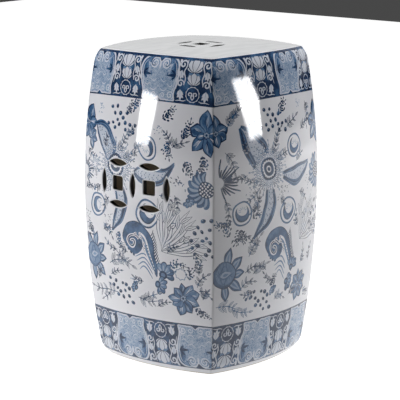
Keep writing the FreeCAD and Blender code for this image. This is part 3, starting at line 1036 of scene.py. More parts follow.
def front_drawing():
    shapes = []
    # Left edge: half of a pale flower, stamens, small sprays
    shapes += moved(blossom(((70, 30, 24), (10, 22, 18), (-62, 27, 20), (140, 26, 20), (-110, 24, 18)), 5),
                    -112, 348)
    shapes += moved(blossom(((-20, 18, 14), (-80, 20, 14), (40, 16, 12)), 4), -104, 330)
    shapes += moved(sprinkle(18, 16, 10, 1.6, LIGHT, 3), -79, 375)
    shapes += moved(stamens(8, -60, 140, 11, 18), -120, 277)
    shapes += moved(twig([(0, 0), (10, 4), (22, 2)], 3, 9, 3.2), -118, 252)
    shapes += moved(twig([(0, 0), (10, -8), (20, -10)], 3, 9, 3.2), -112, 312)
    shapes += moved(lace(0, 0, 3, 15, 9), -92, 290) + moved(sprinkle(22, 20, 14, 1.0, MIDDLE, 5), -88, 282)
    # Sprays round the great flower
    shapes += moved(twig([(0, 0), (10, 12), (20, 28)], 4, 11, 3.6), -40, 314)
    shapes += moved(twig([(0, 0), (12, 8), (26, 12)], 4, 11, 3.6), -26, 306)
    shapes += moved(sprinkle(30, 26, 36, 1.1, DEEP, 7), -14, 302)
    shapes += moved(sprinkle(34, 34, 40, 1.1, DEEP, 9), -60, 262)
    shapes += great_flower(-43, 295,
                           ([(-60, 300), (-72, 314), (-83, 332), (-92, 350)], 4.5,
                            [(-50, 308), (-46, 322), (-56, 339), (-76, 352), (-98, 349)], 9.0),
                           ([(-6, 290), (8, 297), (30, 297), (50, 297), (64, 310)], 6.0,
                            [(-6, 288), (6, 279), (26, 276), (48, 283), (64, 308)], 8.0),
                           ([(-42, 264), (-41, 244), (-43, 226), (-54, 199)], 5.5,
                            [(-27, 264), (-23, 246), (-26, 228), (-37, 212), (-53, 199)], 7.5))
    shapes += moved(cut_pod(17.5), 17, 326, 200)
    shapes += moved(cut_pod(18.5), -86, 232, -35)
    shapes += moved(cut_pod(21.0), 18, 232, 25)
    shapes += moved(twig([(0, 0), (-9, -8), (-14, -20)], 3, 9, 3.2), -58, 246)
    shapes += moved(sprinkle(20, 22, 16, 1.1, DEEP, 11), -60, 216)
    # Above it: berries and dark sprays up to the band
    shapes += berries(berry_places(-32, 364, upper_berries), 3.2)
    shapes += moved(sprig([(0, 0), (8, 9), (14, 20)], 6, 6, 2.4), -24, 370)
    shapes += moved(sprig([(0, 0), (3, 8), (4, 16)], 4, 5, 2.2, BLUE), -8, 378)
    shapes += moved(sprig([(0, 0), (9, 6), (17, 17)], 6, 6, 2.5), 42, 369)
    shapes += moved(sprig([(0, 0), (7, 10), (12, 26)], 7, 6, 2.6), 74, 344)
    shapes += moved(twig([(0, 0), (8, 6), (20, 9)], 3, 11, 3.8), 60, 330)
    shapes += moved(twig([(0, 0), (-8, 12), (-14, 18)], 3, 10, 3.6), 60, 332)
    shapes += moved(sprig([(0, 0), (-3, -12), (0, -24)], 6, 6, 2.4), 54, 338)
    shapes += moved(sprinkle(16, 22, 14, 1.1, BLUE, 13), 36, 352)
    # Right edge: dark blossom and chrysanthemum, both cut by the corner
    shapes += moved(blossom(((92, 37, 22), (28, 28, 26), (158, 28, 20), (228, 31, 18), (286, 32, 18),
                             (196, 16, 12)), 6), 111, 350)
    shapes += moved(sprig([(0, 0), (3, -12), (1, -24)], 6, 6, 2.6), 105, 322)
    shapes += moved(sprig([(0, 0), (5, -10), (12, -20)], 5, 6, 2.6), 80, 312)
    shapes += moved(sprinkle(20, 18, 22, 1.4, DEEP, 15), 70, 284)
    shapes += moved(ribbed_half(27, 92, 172, 9), 113, 274)
    shapes += moved(crown(11), 86, 258, 200)
    shapes += moved(twig([(0, 0), (4, -10), (2, -22)], 3, 8, 3.0), 66, 262)
    shapes += moved(fern_fan((2, 16, 29, 42, 54, 66, 79, 93), 86, 10.5), 42, 180)
    shapes += moved(fern_fan((60, 78), 44, 8.0), 52, 214)
    shapes += berries(berry_places(104, 203, corner_berries), 3.3)
    shapes += moved(sprig([(0, 0), (4, -14), (0, -26)], 5, 5, 2.4), 94, 184)
    # Lower half: paisley with its cup, peony, berries, flower and twigs
    shapes += moved(twig([(0, 0), (14, 8), (32, 9), (48, 4)], 6, 14, 4.6), -62, 148)
    shapes += moved(twig([(0, 0), (-10, 4), (-22, 14)], 3, 12, 4.0), -24, 156)
    shapes += moved(sprig([(0, 0), (-2, -10), (3, -20)], 5, 5, 2.6, BLUE), -36, 198)
    shapes += moved(sprinkle(18, 14, 10, 1.1, DEEP, 17), -30, 184)
    for reach, z in ((30, 172), (27, 166), (24, 160), (21, 154)):
        shapes.append((ribbon([(24, z - 16), (10, z), (22 - reach, z - 5)], 2.0, 0.8, 0.4), MIDDLE))
    shapes += moved(paisley(), -5, 189)
    shapes += moved(crown(19), 43, 146, -38) + moved(crown(16), 33, 131, 250)
    shapes += moved(sprig([(0, 0), (10, 16), (28, 14)], 6, 6, 2.6), 54, 148)
    shapes += [(scalloped(72, 150, 9.5, 9, 0.18), MIDDLE), (scalloped(72, 150, 8.3, 9, 0.18), WHITE)]
    shapes += moved(sprig([(0, 0), (4, 8), (2, 16)], 4, 5, 2.4), 84, 142)
    shapes += moved(bulb(19, (64, 26, -12, -52, -96, 104)), -103, 154)
    shapes += moved(sprig([(0, 0), (-8, 8), (-14, 18)], 6, 6, 2.6), -98, 184)
    shapes += moved(sprinkle(20, 26, 16, 1.2, DEEP, 19), -112, 210)
    shapes += moved(twig([(0, 0), (10, -6), (18, -16)], 3, 9, 3.2), -72, 206)
    shapes += berries(berry_places(-33, 112, lower_berries), 3.2)
    shapes += moved(crown(10), -8, 120, 60) + moved(sprinkle(18, 12, 12, 1.2, MIDDLE, 21), -12, 132)
    shapes += moved(blossom(((96, 24, 14), (56, 26, 16), (20, 27, 16), (-20, 26, 18), (-62, 24, 16),
                             (-108, 27, 15), (214, 22, 16), (180, 26, 14), (138, 22, 15)), 7), 74, 114)
    shapes += moved(twig([(0, 0), (14, -4), (34, 0)], 4, 13, 4.6), -4, 106)
    shapes += moved(twig([(0, 0), (12, 8), (26, 14)], 3, 11, 4.0), 4, 102)
    shapes += moved(twig([(0, 0), (-18, 2), (-40, -2), (-58, 0)], 5, 14, 4.6), -46, 106)
    shapes += moved(twig([(0, 0), (-6, -8), (-16, -12)], 2, 10, 3.8), -66, 104)
    shapes += moved(sprig([(0, 0), (10, -6), (22, -10)], 6, 5, 2.6), 90, 100)
    shapes += moved(twig([(0, 0), (6, 12), (16, 20)], 3, 9, 4.2), 96, 132)
    shapes += moved(twig([(0, 0), (8, 2), (16, -6)], 2, 8, 3.6), 98, 126)
    shapes += gap_twigs(8.5, 3.2, (-66, 318, 75, 20), (-18, 336, 60, 20), (-8, 322, 30, 18),
                        (-78, 262, 200, 18), (40, 262, -20, 18), (-74, 196, 20, 20), (-44, 172, 160, 24),
                        (-22, 170, 150, 18), (6, 130, 160, 18), (52, 178, 40, 18), (100, 150, 80, 18),
                        (-92, 120, 60, 18), (-60, 132, 20, 22), (30, 98, 20, 20), (104, 116, 60, 14),
                        (26, 258, 80, 14))
    shapes = drawn_by_hand(shapes)
    shapes += border((-30, 86), (-89, 30), (-85, 30), (-27, 88))
    return shapes


def side_drawing():
    shapes = []
    shapes += moved(blossom(((88, 26, 20), (20, 22, 20), (-30, 20, 18), (-80, 22, 18)), 6), -118, 353)
    shapes += moved(twig([(0, 0), (8, 12), (22, 22)], 4, 11, 3.8), -98, 360)
    shapes += moved(twig([(0, 0), (12, 6), (24, 18)], 3, 10, 3.6), -96, 372)
    shapes += moved(twig([(0, 0), (10, -12), (16, -30)], 4, 12, 4.4), -104, 326)
    shapes += moved(stamens(8, -72, 150, 14, 26), -116, 283) + moved(stamens(12, -30, 60, 7, 28), -116, 285)
    shapes += moved(twig([(0, 0), (6, -12), (4, -28)], 3, 10, 3.8), -106, 256)
    shapes += moved(sprig([(0, 0), (-14, -6), (-26, -4)], 6, 6, 2.6), -94, 228)
    shapes += moved(sprig([(0, 0), (-6, 10), (-4, 18)], 4, 5, 2.4), -96, 206)
    shapes += moved(twig([(0, 0), (8, 10), (14, 24)], 4, 10, 3.4), -18, 314)
    shapes += moved(twig([(0, 0), (12, 6), (26, 12)], 4, 10, 3.4), -6, 304)
    shapes += moved(sprinkle(30, 30, 26, 1.1, DEEP, 23), -2, 298)
    shapes += moved(sprinkle(36, 34, 44, 1.1, DEEP, 25), -52, 266)
    shapes += moved(twig([(0, 0), (-14, -2), (-28, 4)], 4, 10, 3.4), -44, 280)
    shapes += moved(twig([(0, 0), (-12, -12), (-20, -16)], 3, 10, 3.6), -44, 268)
    shapes += moved(sprinkle(26, 30, 30, 1.1, DEEP, 27), 8, 256)
    shapes += great_flower(-24, 294,
                           ([(-50, 300), (-62, 316), (-70, 336), (-77, 357)], 11.0,
                            [(-27, 316), (-33, 330), (-48, 346), (-75, 359)], 10.0),
                           ([(8, 283), (26, 287), (50, 289), (81, 293)], 6.5,
                            [(8, 278), (28, 268), (54, 269), (80, 291)], 9.0),
                           ([(-28, 264), (-31, 240), (-38, 220), (-56, 197)], 7.0,
                            [(-13, 264), (-12, 242), (-23, 218), (-54, 197)], 8.0))
    shapes += moved(cut_pod(18.0), 38, 320, 30)
    shapes += moved(cut_pod(18.5), -76, 236, 60)
    shapes += moved(cut_pod(20.0), 22, 228, 60)
    shapes += moved(twig([(0, 0), (10, 8), (14, 20)], 4, 9, 3.6), -56, 240)
    shapes += moved(sprig([(0, 0), (8, 4), (14, 2)], 4, 5, 2.6), -56, 228)
    shapes += berries(berry_places(-6, 364, upper_berries), 3.2)
    shapes += moved(sprig([(0, 0), (8, 10), (12, 20)], 6, 6, 2.5), 4, 368)
    shapes += moved(twig([(0, 0), (12, 8), (26, 14)], 3, 12, 4.2), 20, 348)
    shapes += moved(twig([(0, 0), (-4, -8), (-16, -14)], 3, 9, 3.4), -40, 376)
    shapes += moved(twig([(0, 0), (6, -16), (4, -34)], 4, 11, 3.8), 78, 380)
    shapes += moved(sprinkle(20, 16, 10, 1.5, LIGHT, 29), 58, 378)
    shapes += moved(blossom(((92, 36, 22), (28, 28, 26), (158, 28, 20), (228, 30, 18), (286, 32, 18)), 6),
                    112, 343)
    shapes += moved(ribbed_half(27, 92, 172, 9), 113, 274)
    shapes += moved(sprinkle(24, 26, 22, 1.2, DEEP, 31), 84, 262)
    shapes += moved(fern_fan((6, 20, 34, 48, 61, 75, 90), 78, 10.5), 58, 178)
    shapes += berries(berry_places(104, 202, corner_berries), 3.2)
    shapes += moved(sprig([(0, 0), (-10, -6), (-18, -16)], 6, 6, 2.6), -70, 210)
    shapes += moved(sprinkle(24, 20, 26, 1.5, DEEP, 33), -66, 198)
    shapes += moved(twig([(0, 0), (8, 14), (20, 26)], 4, 12, 4.4), -60, 172)
    shapes += moved(twig([(0, 0), (10, 6), (26, 10)], 4, 12, 4.4), -50, 146)
    shapes += moved(twig([(0, 0), (-8, 8), (-20, 10)], 3, 10, 3.8), -24, 146)
    for reach, z in ((28, 162), (25, 155), (22, 148), (19, 141)):
        shapes.append((ribbon([(20, z - 14), (8, z), (18 - reach, z - 4)], 2.0, 0.8, 0.4), MIDDLE))
    shapes += moved(paisley(), -3, 178, 6)
    shapes += moved(crown(15), 38, 142, -20) + moved(crown(15), 26, 122, 255)
    shapes += moved(twig([(0, 0), (6, 10), (4, 24)], 3, 9, 3.6), 66, 142)
    shapes += moved(bulb(20, (70, 30, -8, -48, -90)), -103, 150)
    shapes += moved(twig([(0, 0), (12, 10), (22, 8)], 3, 11, 4.2), -72, 126)
    shapes += berries(berry_places(-28, 106, lower_berries), 3.2)
    shapes += moved(sprig([(0, 0), (6, 6), (10, 14)], 5, 5, 2.6), -14, 122)
    shapes += moved(crown(9), -4, 112, 40)
    shapes += moved(blossom(((96, 24, 14), (56, 25, 16), (20, 25, 16), (-20, 24, 18), (-62, 24, 16),
                             (-108, 26, 15), (214, 22, 16), (180, 24, 14), (138, 22, 15)), 7), 62, 110)
    shapes += moved(twig([(0, 0), (18, 0), (38, -8)], 4, 13, 4.8, BLUE), -112, 104)
    shapes += moved(twig([(0, 0), (14, -8), (30, -8)], 4, 12, 4.4, BLUE), -84, 98)
    shapes += moved(twig([(0, 0), (10, 6), (20, 2)], 3, 11, 4.2), 0, 98)
    shapes += moved(sprig([(0, 0), (8, -6), (16, -8)], 4, 5, 2.6), 84, 98)
    shapes += gap_twigs(9, 3.4, (-60, 320, 120, 18), (-6, 330, 60, 22), (44, 296, 40, 18),
                        (-66, 290, 190, 22), (-46, 252, 230, 20), (52, 250, -30, 22), (2, 250, -60, 18),
                        (-84, 196, 20, 20), (-40, 186, 150, 24), (-66, 148, 20, 26), (48, 200, 100, 20),
                        (-10, 130, 150, 20), (36, 100, 20, 18), (94, 140, 80, 22), (-48, 120, 190, 20),
                        (60, 340, 30, 22))
    shapes = drawn_by_hand(shapes)
    shapes += border((-28, 92), (-88, 38), (-88, 22), (-32, 78))
    return shapes


FRONT_DRAWING = front_drawing()
SIDE_DRAWING = side_drawing()
print("shapes: %d on the front, %d on the sides" % (len(FRONT_DRAWING), len(SIDE_DRAWING)))


# %% [markdown]
# First the softened edges. The rim rolls over in one curve to the seat, the foot is rounded a
# little, and the glaze is wiped off it so that it doesn't stick to the kiln shelf. At a hole
# the glaze draws back over the edge as a soft lip, and the hole's wall runs straight in; the
# wall is given a dark stoneware that is painted shade, for the shadow inside the hole.

# %% Rings that run round the edges of the outer face
rim_line_steps = 2          # a painted line runs over this much of the rounded rim


def at(u, z, inward):
    """Points in the wall, a distance inward of the rounded outer face."""
    u = np.asarray(u, float)
    z = np.zeros_like(u) + z
    return wrap(u * half_arc(z), z) - inside(u, z, 0) + inside(u, z, inward)


def add_rim(shell, ring, u, z):
    """Rolls the upper edge over to the seat and steps down to the ledge that carries it."""
    lip_height = z + rim_round
    for _ in range(4):
        lip = at(u, lip_height, rim_lip)
        lip_height = dome(lip[:, 0], lip[:, 1])
    ends = [ring]
    for step, t in enumerate(np.linspace(0, 1, round_steps + 1)[1:]):
        height = (1 - t) ** 2 * z + 2 * t * (1 - t) * (z + rim_round) + t ** 2 * lip_height
        ink = DEEP if step < rim_line_steps else WHITE
        ends.append(shell.carry_on(ends[-1], at(u, height, t ** 2 * rim_lip), False, ink))
    for inward in (rim_lip, wall):
        ends.append(shell.carry_on(ends[-1], at(u, seat_underside, inward), False, finish=1))
    return ends


def add_foot(shell, ring, u):
    """Rounds the lower edge, outside and inside."""
    profile = np.vstack([bent((foot_round, 0), (0, 0), (0, foot_round), round_steps),
                         [[0, wall - foot_round]],
                         bent((0, wall - foot_round), (0, wall), (foot_round, wall), round_steps)])
    ends = [ring]
    for height, inward in profile:
        ends.append(shell.carry_on(ends[-1], at(u, height, inward), False, finish=1))
    return ends


def nearest_on(outline, other, points):
    """For points on one outline, the matching places on another outline with as many points."""
    matched = []
    ahead = np.roll(outline, -1, axis=0) - outline
    other_ahead = np.roll(other, -1, axis=0) - other
    for point in points:
        share = np.clip(((point - outline) * ahead).sum(1) / (ahead ** 2).sum(1), 0, 1)
        gap = np.linalg.norm(outline + ahead * share[:, None] - point, axis=1)
        edge = gap.argmin()
        matched.append(other[edge] + other_ahead[edge] * share[edge])
    return np.array(matched)


def add_hole(shell, ring, x, z, sharp_x, sharp_z):
    """Rolls the glaze over the edge of a hole and takes its wall through to the inside."""
    for t in np.linspace(0, 1, round_steps + 1)[1:]:
        share, inward = 1 - (1 - t) ** 2, t ** 2 * hole_lip
        ring = shell.carry_on(ring, straight_in(x + (sharp_x - x) * share,
                                                z + (sharp_z - z) * share, inward), True)
    # The wall beyond the lip takes finish 2, the dark stoneware that is painted shade.
    for inward in (wall * 0.6, wall):
        ring = shell.carry_on(ring, straight_in(sharp_x, sharp_z, inward), True, finish=2)
    return ring


# %% [markdown]
# The inner face is never printed or glazed, so it can be far coarser, but it has to use the very
# points that the rings ended on. They go into a second flat triangulation, seen from the front.

# %% Inner face, mitre faces, and the finished panel
inner_grid = 16.0


def add_inner_face(shell, border, hole_rings):
    points = np.vstack(shell.points)
    outline = points[border][:, [0, 2]]
    hole_rings = [ring[::-1] for ring in hole_rings]        # every outline has to run anticlockwise
    holes = [points[ring][:, [0, 2]] for ring in hole_rings]
    x, z = np.meshgrid(np.arange(-112, 113, inner_grid), np.arange(14, seat_underside - 4, inner_grid))
    plain = np.stack([x.ravel(), z.ravel()], -1)
    plain = plain[np.abs(plain[:, 0]) < bow(plain[:, 1], wall)[0] * np.sin(bow(plain[:, 1], wall)[1]) - 3]
    flat, triangles, _, sources = cut_sheet(outline, holes, [], plain)
    known = [None] * len(plain) + list(border) + [p for ring in hole_rings for p in ring]
    new = shell.add_points(straight_in(flat[:, 0], flat[:, 1], wall))
    number = [new[i] if source < 0 or known[source] is None else known[source]
              for i, source in enumerate(sources)]
    shell.add_faces([[number[p] for p in triangle[::-1]] for triangle in triangles], finish=1)


def build_panel(coins, drawing):
    """Shell of a front panel with this many coins and this drawing on it."""
    shell = Shell()
    outline = panel_outline()
    sharp = coin_outlines(coins, side_coin_shift, side_coin_height) if coins else []
    rolled = coin_outlines(coins, side_coin_shift, side_coin_height, hole_lip) if coins else []
    holes = []
    for edge in rolled:
        radius = bow(edge[:, 1])[0]
        holes.append(np.stack([radius * np.arcsin(edge[:, 0] / radius), edge[:, 1]], -1))
    levels = levels_up(foot_round, stool_height - rim_lip)[1:]
    s, z = np.meshgrid(np.arange(-15, 16) * grid_across, levels)
    plain = np.stack([s.ravel(), z.ravel()], -1)
    plain = plain[(np.abs(plain[:, 0]) < half_arc(plain[:, 1]) - 4)
                  & (plain[:, 1] < rim_height(plain[:, 0]) - rim_round - 0.8)]
    mitre = outline[np.abs(outline[:, 0]) > half_arc(outline[:, 1]) - 1e-3]
    mitre = mitre[(mitre[:, 0] > 0) & (mitre[:, 1] > foot_round + 0.1)][:-1]
    soft = corner_round * np.tan(math.pi / 4 - bow(mitre[:, 1])[1])
    lines = []
    for share in (0.33, 0.67, 1.0):
        line = np.stack([mitre[:, 0] - soft * share, mitre[:, 1]], -1)
        lines += [line, line * (-1, 1)]

    flat, triangles, drawn, _ = cut_sheet(outline, holes, [shape for shape, _ in drawing], plain, lines)
    near_mitre = np.abs(flat[:, 0]) > half_arc(flat[:, 1]) - 0.05
    flat[near_mitre, 0] = (np.sign(flat[:, 0]) * half_arc(flat[:, 1]))[near_mitre]
    shell.add_points(wrap(flat[:, 0], flat[:, 1]))
    inks = [drawing[shape][1] if shape >= 0 else (0.0, 0.0) for shape in drawn]
    shell.add_faces(triangles.tolist(), inks)
    shell.flat, shell.sheet_faces = flat, len(triangles)

    loops = border_loops(triangles)
    outer = max(loops, key=len)
    corner_at = {}
    for word, s, z in (("foot_left", -1, foot_round), ("foot_right", 1, foot_round),
                       ("rim_right", 1, None), ("rim_left", -1, None)):
        z = outline[:, 1][np.abs(outline[:, 0]) > half_arc(outline[:, 1]) - 1e-3].max() if z is None else z
        target = np.array([s * float(half_arc(z)), z])
        corner_at[word] = outer[np.linalg.norm(flat[outer] - target, axis=1).argmin()]
    start = outer.index(corner_at["foot_left"])
    outer = outer[start:] + outer[:start]
    cuts = [outer.index(corner_at[word]) for word in ("foot_right", "rim_right", "rim_left")]
    foot, right = outer[:cuts[0] + 1], outer[cuts[0]:cuts[1] + 1]
    rim, left = outer[cuts[1]:cuts[2] + 1], outer[cuts[2]:] + outer[:1]

    share = np.clip(flat[:, 0] / half_arc(flat[:, 1]), -1, 1)
    rim_rings = add_rim(shell, rim, share[rim], flat[rim, 1])
    foot_rings = add_foot(shell, foot, share[foot])
    hole_ends = []
    for loop in loops:
        if loop[0] in outer:
            continue
        radius = bow(flat[loop, 1])[0]
        edge = np.stack([radius * np.sin(flat[loop, 0] / radius), flat[loop, 1]], -1)
        nearest = min(range(len(rolled)), key=lambda k: np.linalg.norm(rolled[k].mean(0) - edge.mean(0)))
        end = nearest_on(rolled[nearest], sharp[nearest], edge)
        hole_ends.append(add_hole(shell, loop, edge[:, 0], edge[:, 1], end[:, 0], end[:, 1]))

    inner_levels = np.arange(16, seat_underside - 8, inner_grid)
    inner_right = shell.add_points(at(np.ones(len(inner_levels)), inner_levels, wall))
    inner_left = shell.add_points(at(-np.ones(len(inner_levels)), inner_levels, wall))[::-1]
    add_inner_face(shell, foot_rings[-1] + inner_right + rim_rings[-1] + inner_left, hole_ends)
    right_face = (right + [ring[0] for ring in rim_rings[1:]] + inner_right[::-1]
                  + [ring[-1] for ring in foot_rings[:0:-1]])
    left_face = (left[::-1] + [ring[-1] for ring in rim_rings[1:]] + inner_left
                 + [ring[0] for ring in foot_rings[:0:-1]])
    shell.add_faces([right_face[::-1], left_face], finish=1)
    return shell


# %% [markdown]
# The mesh is written with its finish on each face and the print as a colour on each face
# corner. The normals of the outer face are worked out from the barrel itself, so that the gloss
# runs smoothly over the triangles of the brush marks.

# %% From shell to object
crease = 32.0               # faces that meet at more degrees than this keep a hard edge


def sheet_normals(flat):
    """Normals of the wrapped sheet, from two short steps along it."""
    s, z = flat[:, 0], flat[:, 1]
    step, here = 0.02, wrap(s, z)
    toward = np.where(s >= 0, -step, step)
    across = (wrap(s + toward, z) - here) * np.sign(toward)[:, None]
    share = s / half_arc(z)
    up = wrap(share * half_arc(z + step), z + step) - wrap(share * half_arc(z - step), z - step)
    normal = np.cross(across, up)
    return normal / np.linalg.norm(normal, axis=1)[:, None]


def make_object(name, shell, finishes, turn=0):
    """Blender object of a shell, turned about the stool's axis by quarter turns."""
    c, s = [(1, 0), (0, 1), (-1, 0), (0, -1)][turn]
    spin = np.array([[c, s, 0], [-s, c, 0], [0, 0, 1.0]])
    points = np.vstack(shell.points) @ spin * MM
    mesh = bpy.data.meshes.new(name)
    mesh.from_pydata(points.tolist(), [], shell.faces)
    for finish in finishes:
        mesh.materials.append(finish)
    mesh.polygons.foreach_set("material_index", shell.finish)
    mesh.polygons.foreach_set("use_smooth", [True] * len(shell.faces))
    sizes = [len(face) for face in shell.faces]
    ink = np.repeat(np.array(shell.inks, float), sizes, axis=0)
    colours = np.column_stack([ink, np.zeros(len(ink)), np.ones(len(ink))])
    mesh.attributes.new("Print", "FLOAT_COLOR", "CORNER").data.foreach_set("color", colours.ravel())
    mesh.set_sharp_from_angle(angle=math.radians(crease))
    if shell.flat is not None:
        normals = np.zeros((len(ink), 3))
        sheet_corners = np.array(shell.faces[:shell.sheet_faces]).ravel()
        normals[:len(sheet_corners)] = sheet_normals(shell.flat)[sheet_corners] @ spin
        mesh.normals_split_custom_set(normals.tolist())
    piece = bpy.data.objects.new(name, mesh)
    bpy.context.collection.objects.link(piece)
    print("%-18s %6d triangles" % (name, sum(size - 2 for size in sizes)))
    return piece


def check_closed(piece):
    """Counts edges that don't have exactly two faces running opposite ways."""
    work = bmesh.new()
    work.from_mesh(piece.data)
    open_edges = [edge for edge in work.edges if not edge.is_manifold or not edge.is_contiguous]
    print("%-18s %d open edges, volume %.1f cm3" % (piece.name, len(open_edges),
                                                  work.calc_volume(signed=True) * 1e6))
    work.free()


front_shell, side_shell = build_panel(2, FRONT_DRAWING), build_panel(0, SIDE_DRAWING)
for turn, side in enumerate(("front", "right", "back", "left")):
    shell = side_shell if turn % 2 else front_shell
    panel = make_object("panel_" + side, shell, [printed_glaze, bare_stoneware, hole_wall_painted_shade], turn)
    check_closed(panel)
    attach(panel, "root")
    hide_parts("side_panel_" + side)

# %% [markdown]
# The seat is a thick, slightly domed slab with one coin pierced in it, let into the rims of the
# panels. It is made like a panel: a flat sheet with rolled holes, laid onto the dome, and the
# underside again from the same rings.

# %% Seat
seat_grid = 14.0
seat_lip = 0.5              # here the glaze hardly draws back, so the holes look dark to the edge


def seat_outline():
    """Where the dome meets the inner edge of the rims, anticlockwise from above."""
    shares = np.linspace(-1, 1, 25)[:-1]
    height = np.full(len(shares), stool_height - rim_lip)
    for _ in range(4):
        place = at(shares, height, rim_lip)
        height = dome(place[:, 0], place[:, 1])
    front = place[:, :2]
    return np.vstack([front @ np.array([[c, s], [-s, c]]) for c, s in ((1, 0), (0, 1), (-1, 0), (0, -1))])


def build_seat():
    shell = Shell()
    outline = seat_outline()
    sharp = coin_outlines(1, *seat_coin_centre)
    rolled = coin_outlines(1, *seat_coin_centre, seat_lip)
    x, y = np.meshgrid(np.arange(-8, 9) * seat_grid, np.arange(-8, 9) * seat_grid)
    plain = np.stack([x.ravel(), y.ravel()], -1)
    plain = plain[np.abs(plain).max(1) < np.abs(outline).max() - 12]
    flat, triangles, _, _ = cut_sheet(outline, rolled, [], plain)
    shell.add_points(np.column_stack([flat, dome(flat[:, 0], flat[:, 1])]))
    shell.add_faces(triangles.tolist())
    ends = []
    for loop in border_loops(triangles):
        edge = flat[loop]
        nearest = min(range(len(rolled)), key=lambda k: np.linalg.norm(rolled[k].mean(0) - edge.mean(0)))
        outer = np.abs(edge).max() > np.abs(outline).max() - 1
        end = edge if outer else nearest_on(rolled[nearest], sharp[nearest], edge)
        ring = loop
        # Round a hole the lip is glazed; the wall below it takes finish 2, the dark stoneware that is
        # painted shade.
        if not outer:
            for t in np.linspace(0, 1, round_steps + 1)[1:]:
                place = edge + (end - edge) * (1 - (1 - t) ** 2)
                height = dome(place[:, 0], place[:, 1]) - t ** 2 * seat_lip
                ring = shell.carry_on(ring, np.column_stack([place, height]), True)
            place = np.column_stack([end, np.full(len(end), seat_underside + 3.0)])
            ring = shell.carry_on(ring, place, True, finish=2)
        under = np.column_stack([end, np.full(len(end), seat_underside)])
        ends.append(shell.carry_on(ring, under, True, finish=1 if outer else 2))
    points = np.vstack(shell.points)
    ends.sort(key=lambda ring: -np.abs(points[ring]).max())
    ends = ends[:1] + [ring[::-1] for ring in ends[1:]]
    plan = [points[ring][:, :2] for ring in ends]
    bottom, faces, _, sources = cut_sheet(plan[0], plan[1:], [], plain[::3])
    known = [None] * len(plain[::3]) + [p for ring in ends for p in ring]
    new = shell.add_points(np.column_stack([bottom, np.full(len(bottom), seat_underside)]))
    number = [new[i] if source < 0 or known[source] is None else known[source]
              for i, source in enumerate(sources)]
    shell.add_faces([[number[p] for p in face[::-1]] for face in faces], finish=1)
    return shell


seat = make_object("seat", build_seat(), [white_glaze, bare_stoneware, hole_wall_painted_shade])
check_closed(seat)
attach(seat, "root")
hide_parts("seat_slab")

# %% [markdown]
# The base slab and the clay coils in the joints are bare stoneware. They show only through the
# holes and from below, and their solids in the frame already have the right shape, so they keep
# it and get the material of bare fired clay.

# %% Base and luting coils
for node in ("base_slab", "seat_lute", "base_lute", "corner_lute_front_right", "corner_lute_back_right",
             "corner_lute_back_left", "corner_lute_front_left"):
    mesh = bpy.data.objects[node].data
    mesh.materials.clear()
    mesh.materials.append(bare_stoneware)

# %% [markdown]
# The picture is a catalogue picture: a white surround, and light from two sides that leaves the
# corner nearest to the camera the darkest part, so that both bowed panels read as round. Glaze
# mirrors whatever shines, so the large soft sources are kept out of its reflections, as a
# photographer does with screens. What it does mirror is two bright window panes, which give the
# crisp highlights, and a pale backdrop that shows in the seat. A glowing square on the floor and
# a world that is brighter from below stand for the light that a white floor throws back.

# %% Floor and light
def glowing(name, colour, strength, corners):
    """A flat face of the studio that shines evenly."""
    mesh = bpy.data.meshes.new(name)
    mesh.from_pydata([tuple(corner) for corner in corners], [], [tuple(range(len(corners)))])
    material, _, shader, _ = new_material(name + "_surface")
    shader.inputs["Base Color"].default_value = hex_colour(colour)
    shader.inputs["Roughness"].default_value = 0.9
    shader.inputs["Emission Color"].default_value = hex_colour("#FFFFFF")
    shader.inputs["Emission Strength"].default_value = strength
    mesh.materials.append(material)
    piece = bpy.data.objects.new(name, mesh)
    bpy.context.collection.objects.link(piece)
    return piece


def level_square(half, height):
    return [(-half, -half, height), (half, -half, height), (half, half, height), (-half, half, height)]


floor = glowing("floor", "#9A9A99", 1.0, level_square(4.0, 0.0))
floor.visible_diffuse = False
bounce = glowing("bounce_from_floor", "#000000", 0.46, level_square(0.30, 0.001))
bounce.visible_camera = False
bounce.visible_glossy = False
bounce.visible_shadow = False

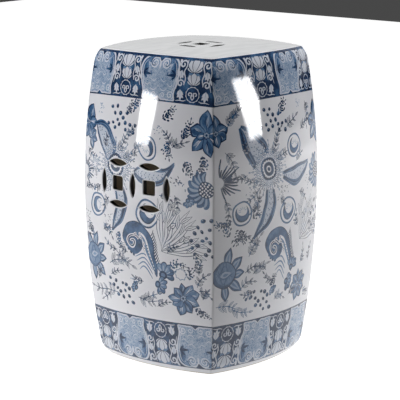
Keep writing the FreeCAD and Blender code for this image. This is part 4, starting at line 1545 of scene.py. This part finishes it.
room_brightness, floor_brightness = 0.03, 0.25
window_aim, window_distance, window_glow = 380.0, 2.2, 22.0
world = bpy.data.worlds.new("studio")
world.use_nodes = True
tree = world.node_tree
background = tree.nodes["Background"]
seen_directly = add_node(tree, "ShaderNodeLightPath").outputs["Is Camera Ray"]
direction = add_node(tree, "ShaderNodeTexCoord").outputs["Generated"]
upward = add_node(tree, "ShaderNodeSeparateXYZ", Vector=direction).outputs["Z"]
from_below = maths(tree, "MULTIPLY", maths(tree, "LESS_THAN", upward, 0.0), floor_brightness)
brightness = maths(tree, "ADD", maths(tree, "ADD", from_below, room_brightness), seen_directly)
tree.links.new(brightness, background.inputs["Strength"])
bpy.context.scene.world = world


def towards(azimuth, elevation):
    """Direction from the stool; azimuth turns from the front to the right."""
    azimuth, elevation = math.radians(azimuth), math.radians(elevation)
    return Vector((math.sin(azimuth) * math.cos(elevation), -math.cos(azimuth) * math.cos(elevation),
                   math.sin(elevation)))


def softbox(name, azimuth, elevation, distance, width, height, watts):
    """A large soft lamp that faces the stool and is screened off from its reflections."""
    lamp = bpy.data.lights.new(name, "AREA")
    lamp.shape = "RECTANGLE"
    lamp.size, lamp.size_y, lamp.energy = width, height, watts
    away = towards(azimuth, elevation)
    piece = bpy.data.objects.new(name, lamp)
    piece.location = aim + away * distance
    piece.rotation_euler = away.to_track_quat("Z", "Y").to_euler()
    piece.visible_glossy = False
    bpy.context.collection.objects.link(piece)


def window(name, corners, glow=window_glow):
    """A bright pane, given by the directions of its corners, that the glaze mirrors."""
    middle = Vector((0, 0, window_aim * MM))
    pane = glowing(name, "#000000", glow,
                   [middle + towards(*corner) * window_distance for corner in corners])
    pane.visible_camera = False


window("highlight_left", [(-36.9, 4.1), (-26.6, 4.2), (-31.4, -4.9), (-39.2, -4.9)])
window("highlight_right", [(108.4, 7.2), (120.6, 6.4), (125.4, 2.4), (126.4, -3.8), (117.9, -4.1)])
window("backdrop", [(165, 0), (273, 0), (273, 32), (165, 32)], 0.6)
softbox("screen_left", -44, 1, 2.5, 1.2, 1.4, 61)
softbox("screen_right", 158, 1, 2.5, 1.2, 1.4, 47)
softbox("screen_above", 0, 90, 2.4, 1.6, 1.6, 44)
bpy.context.scene.view_settings.view_transform = "Standard"
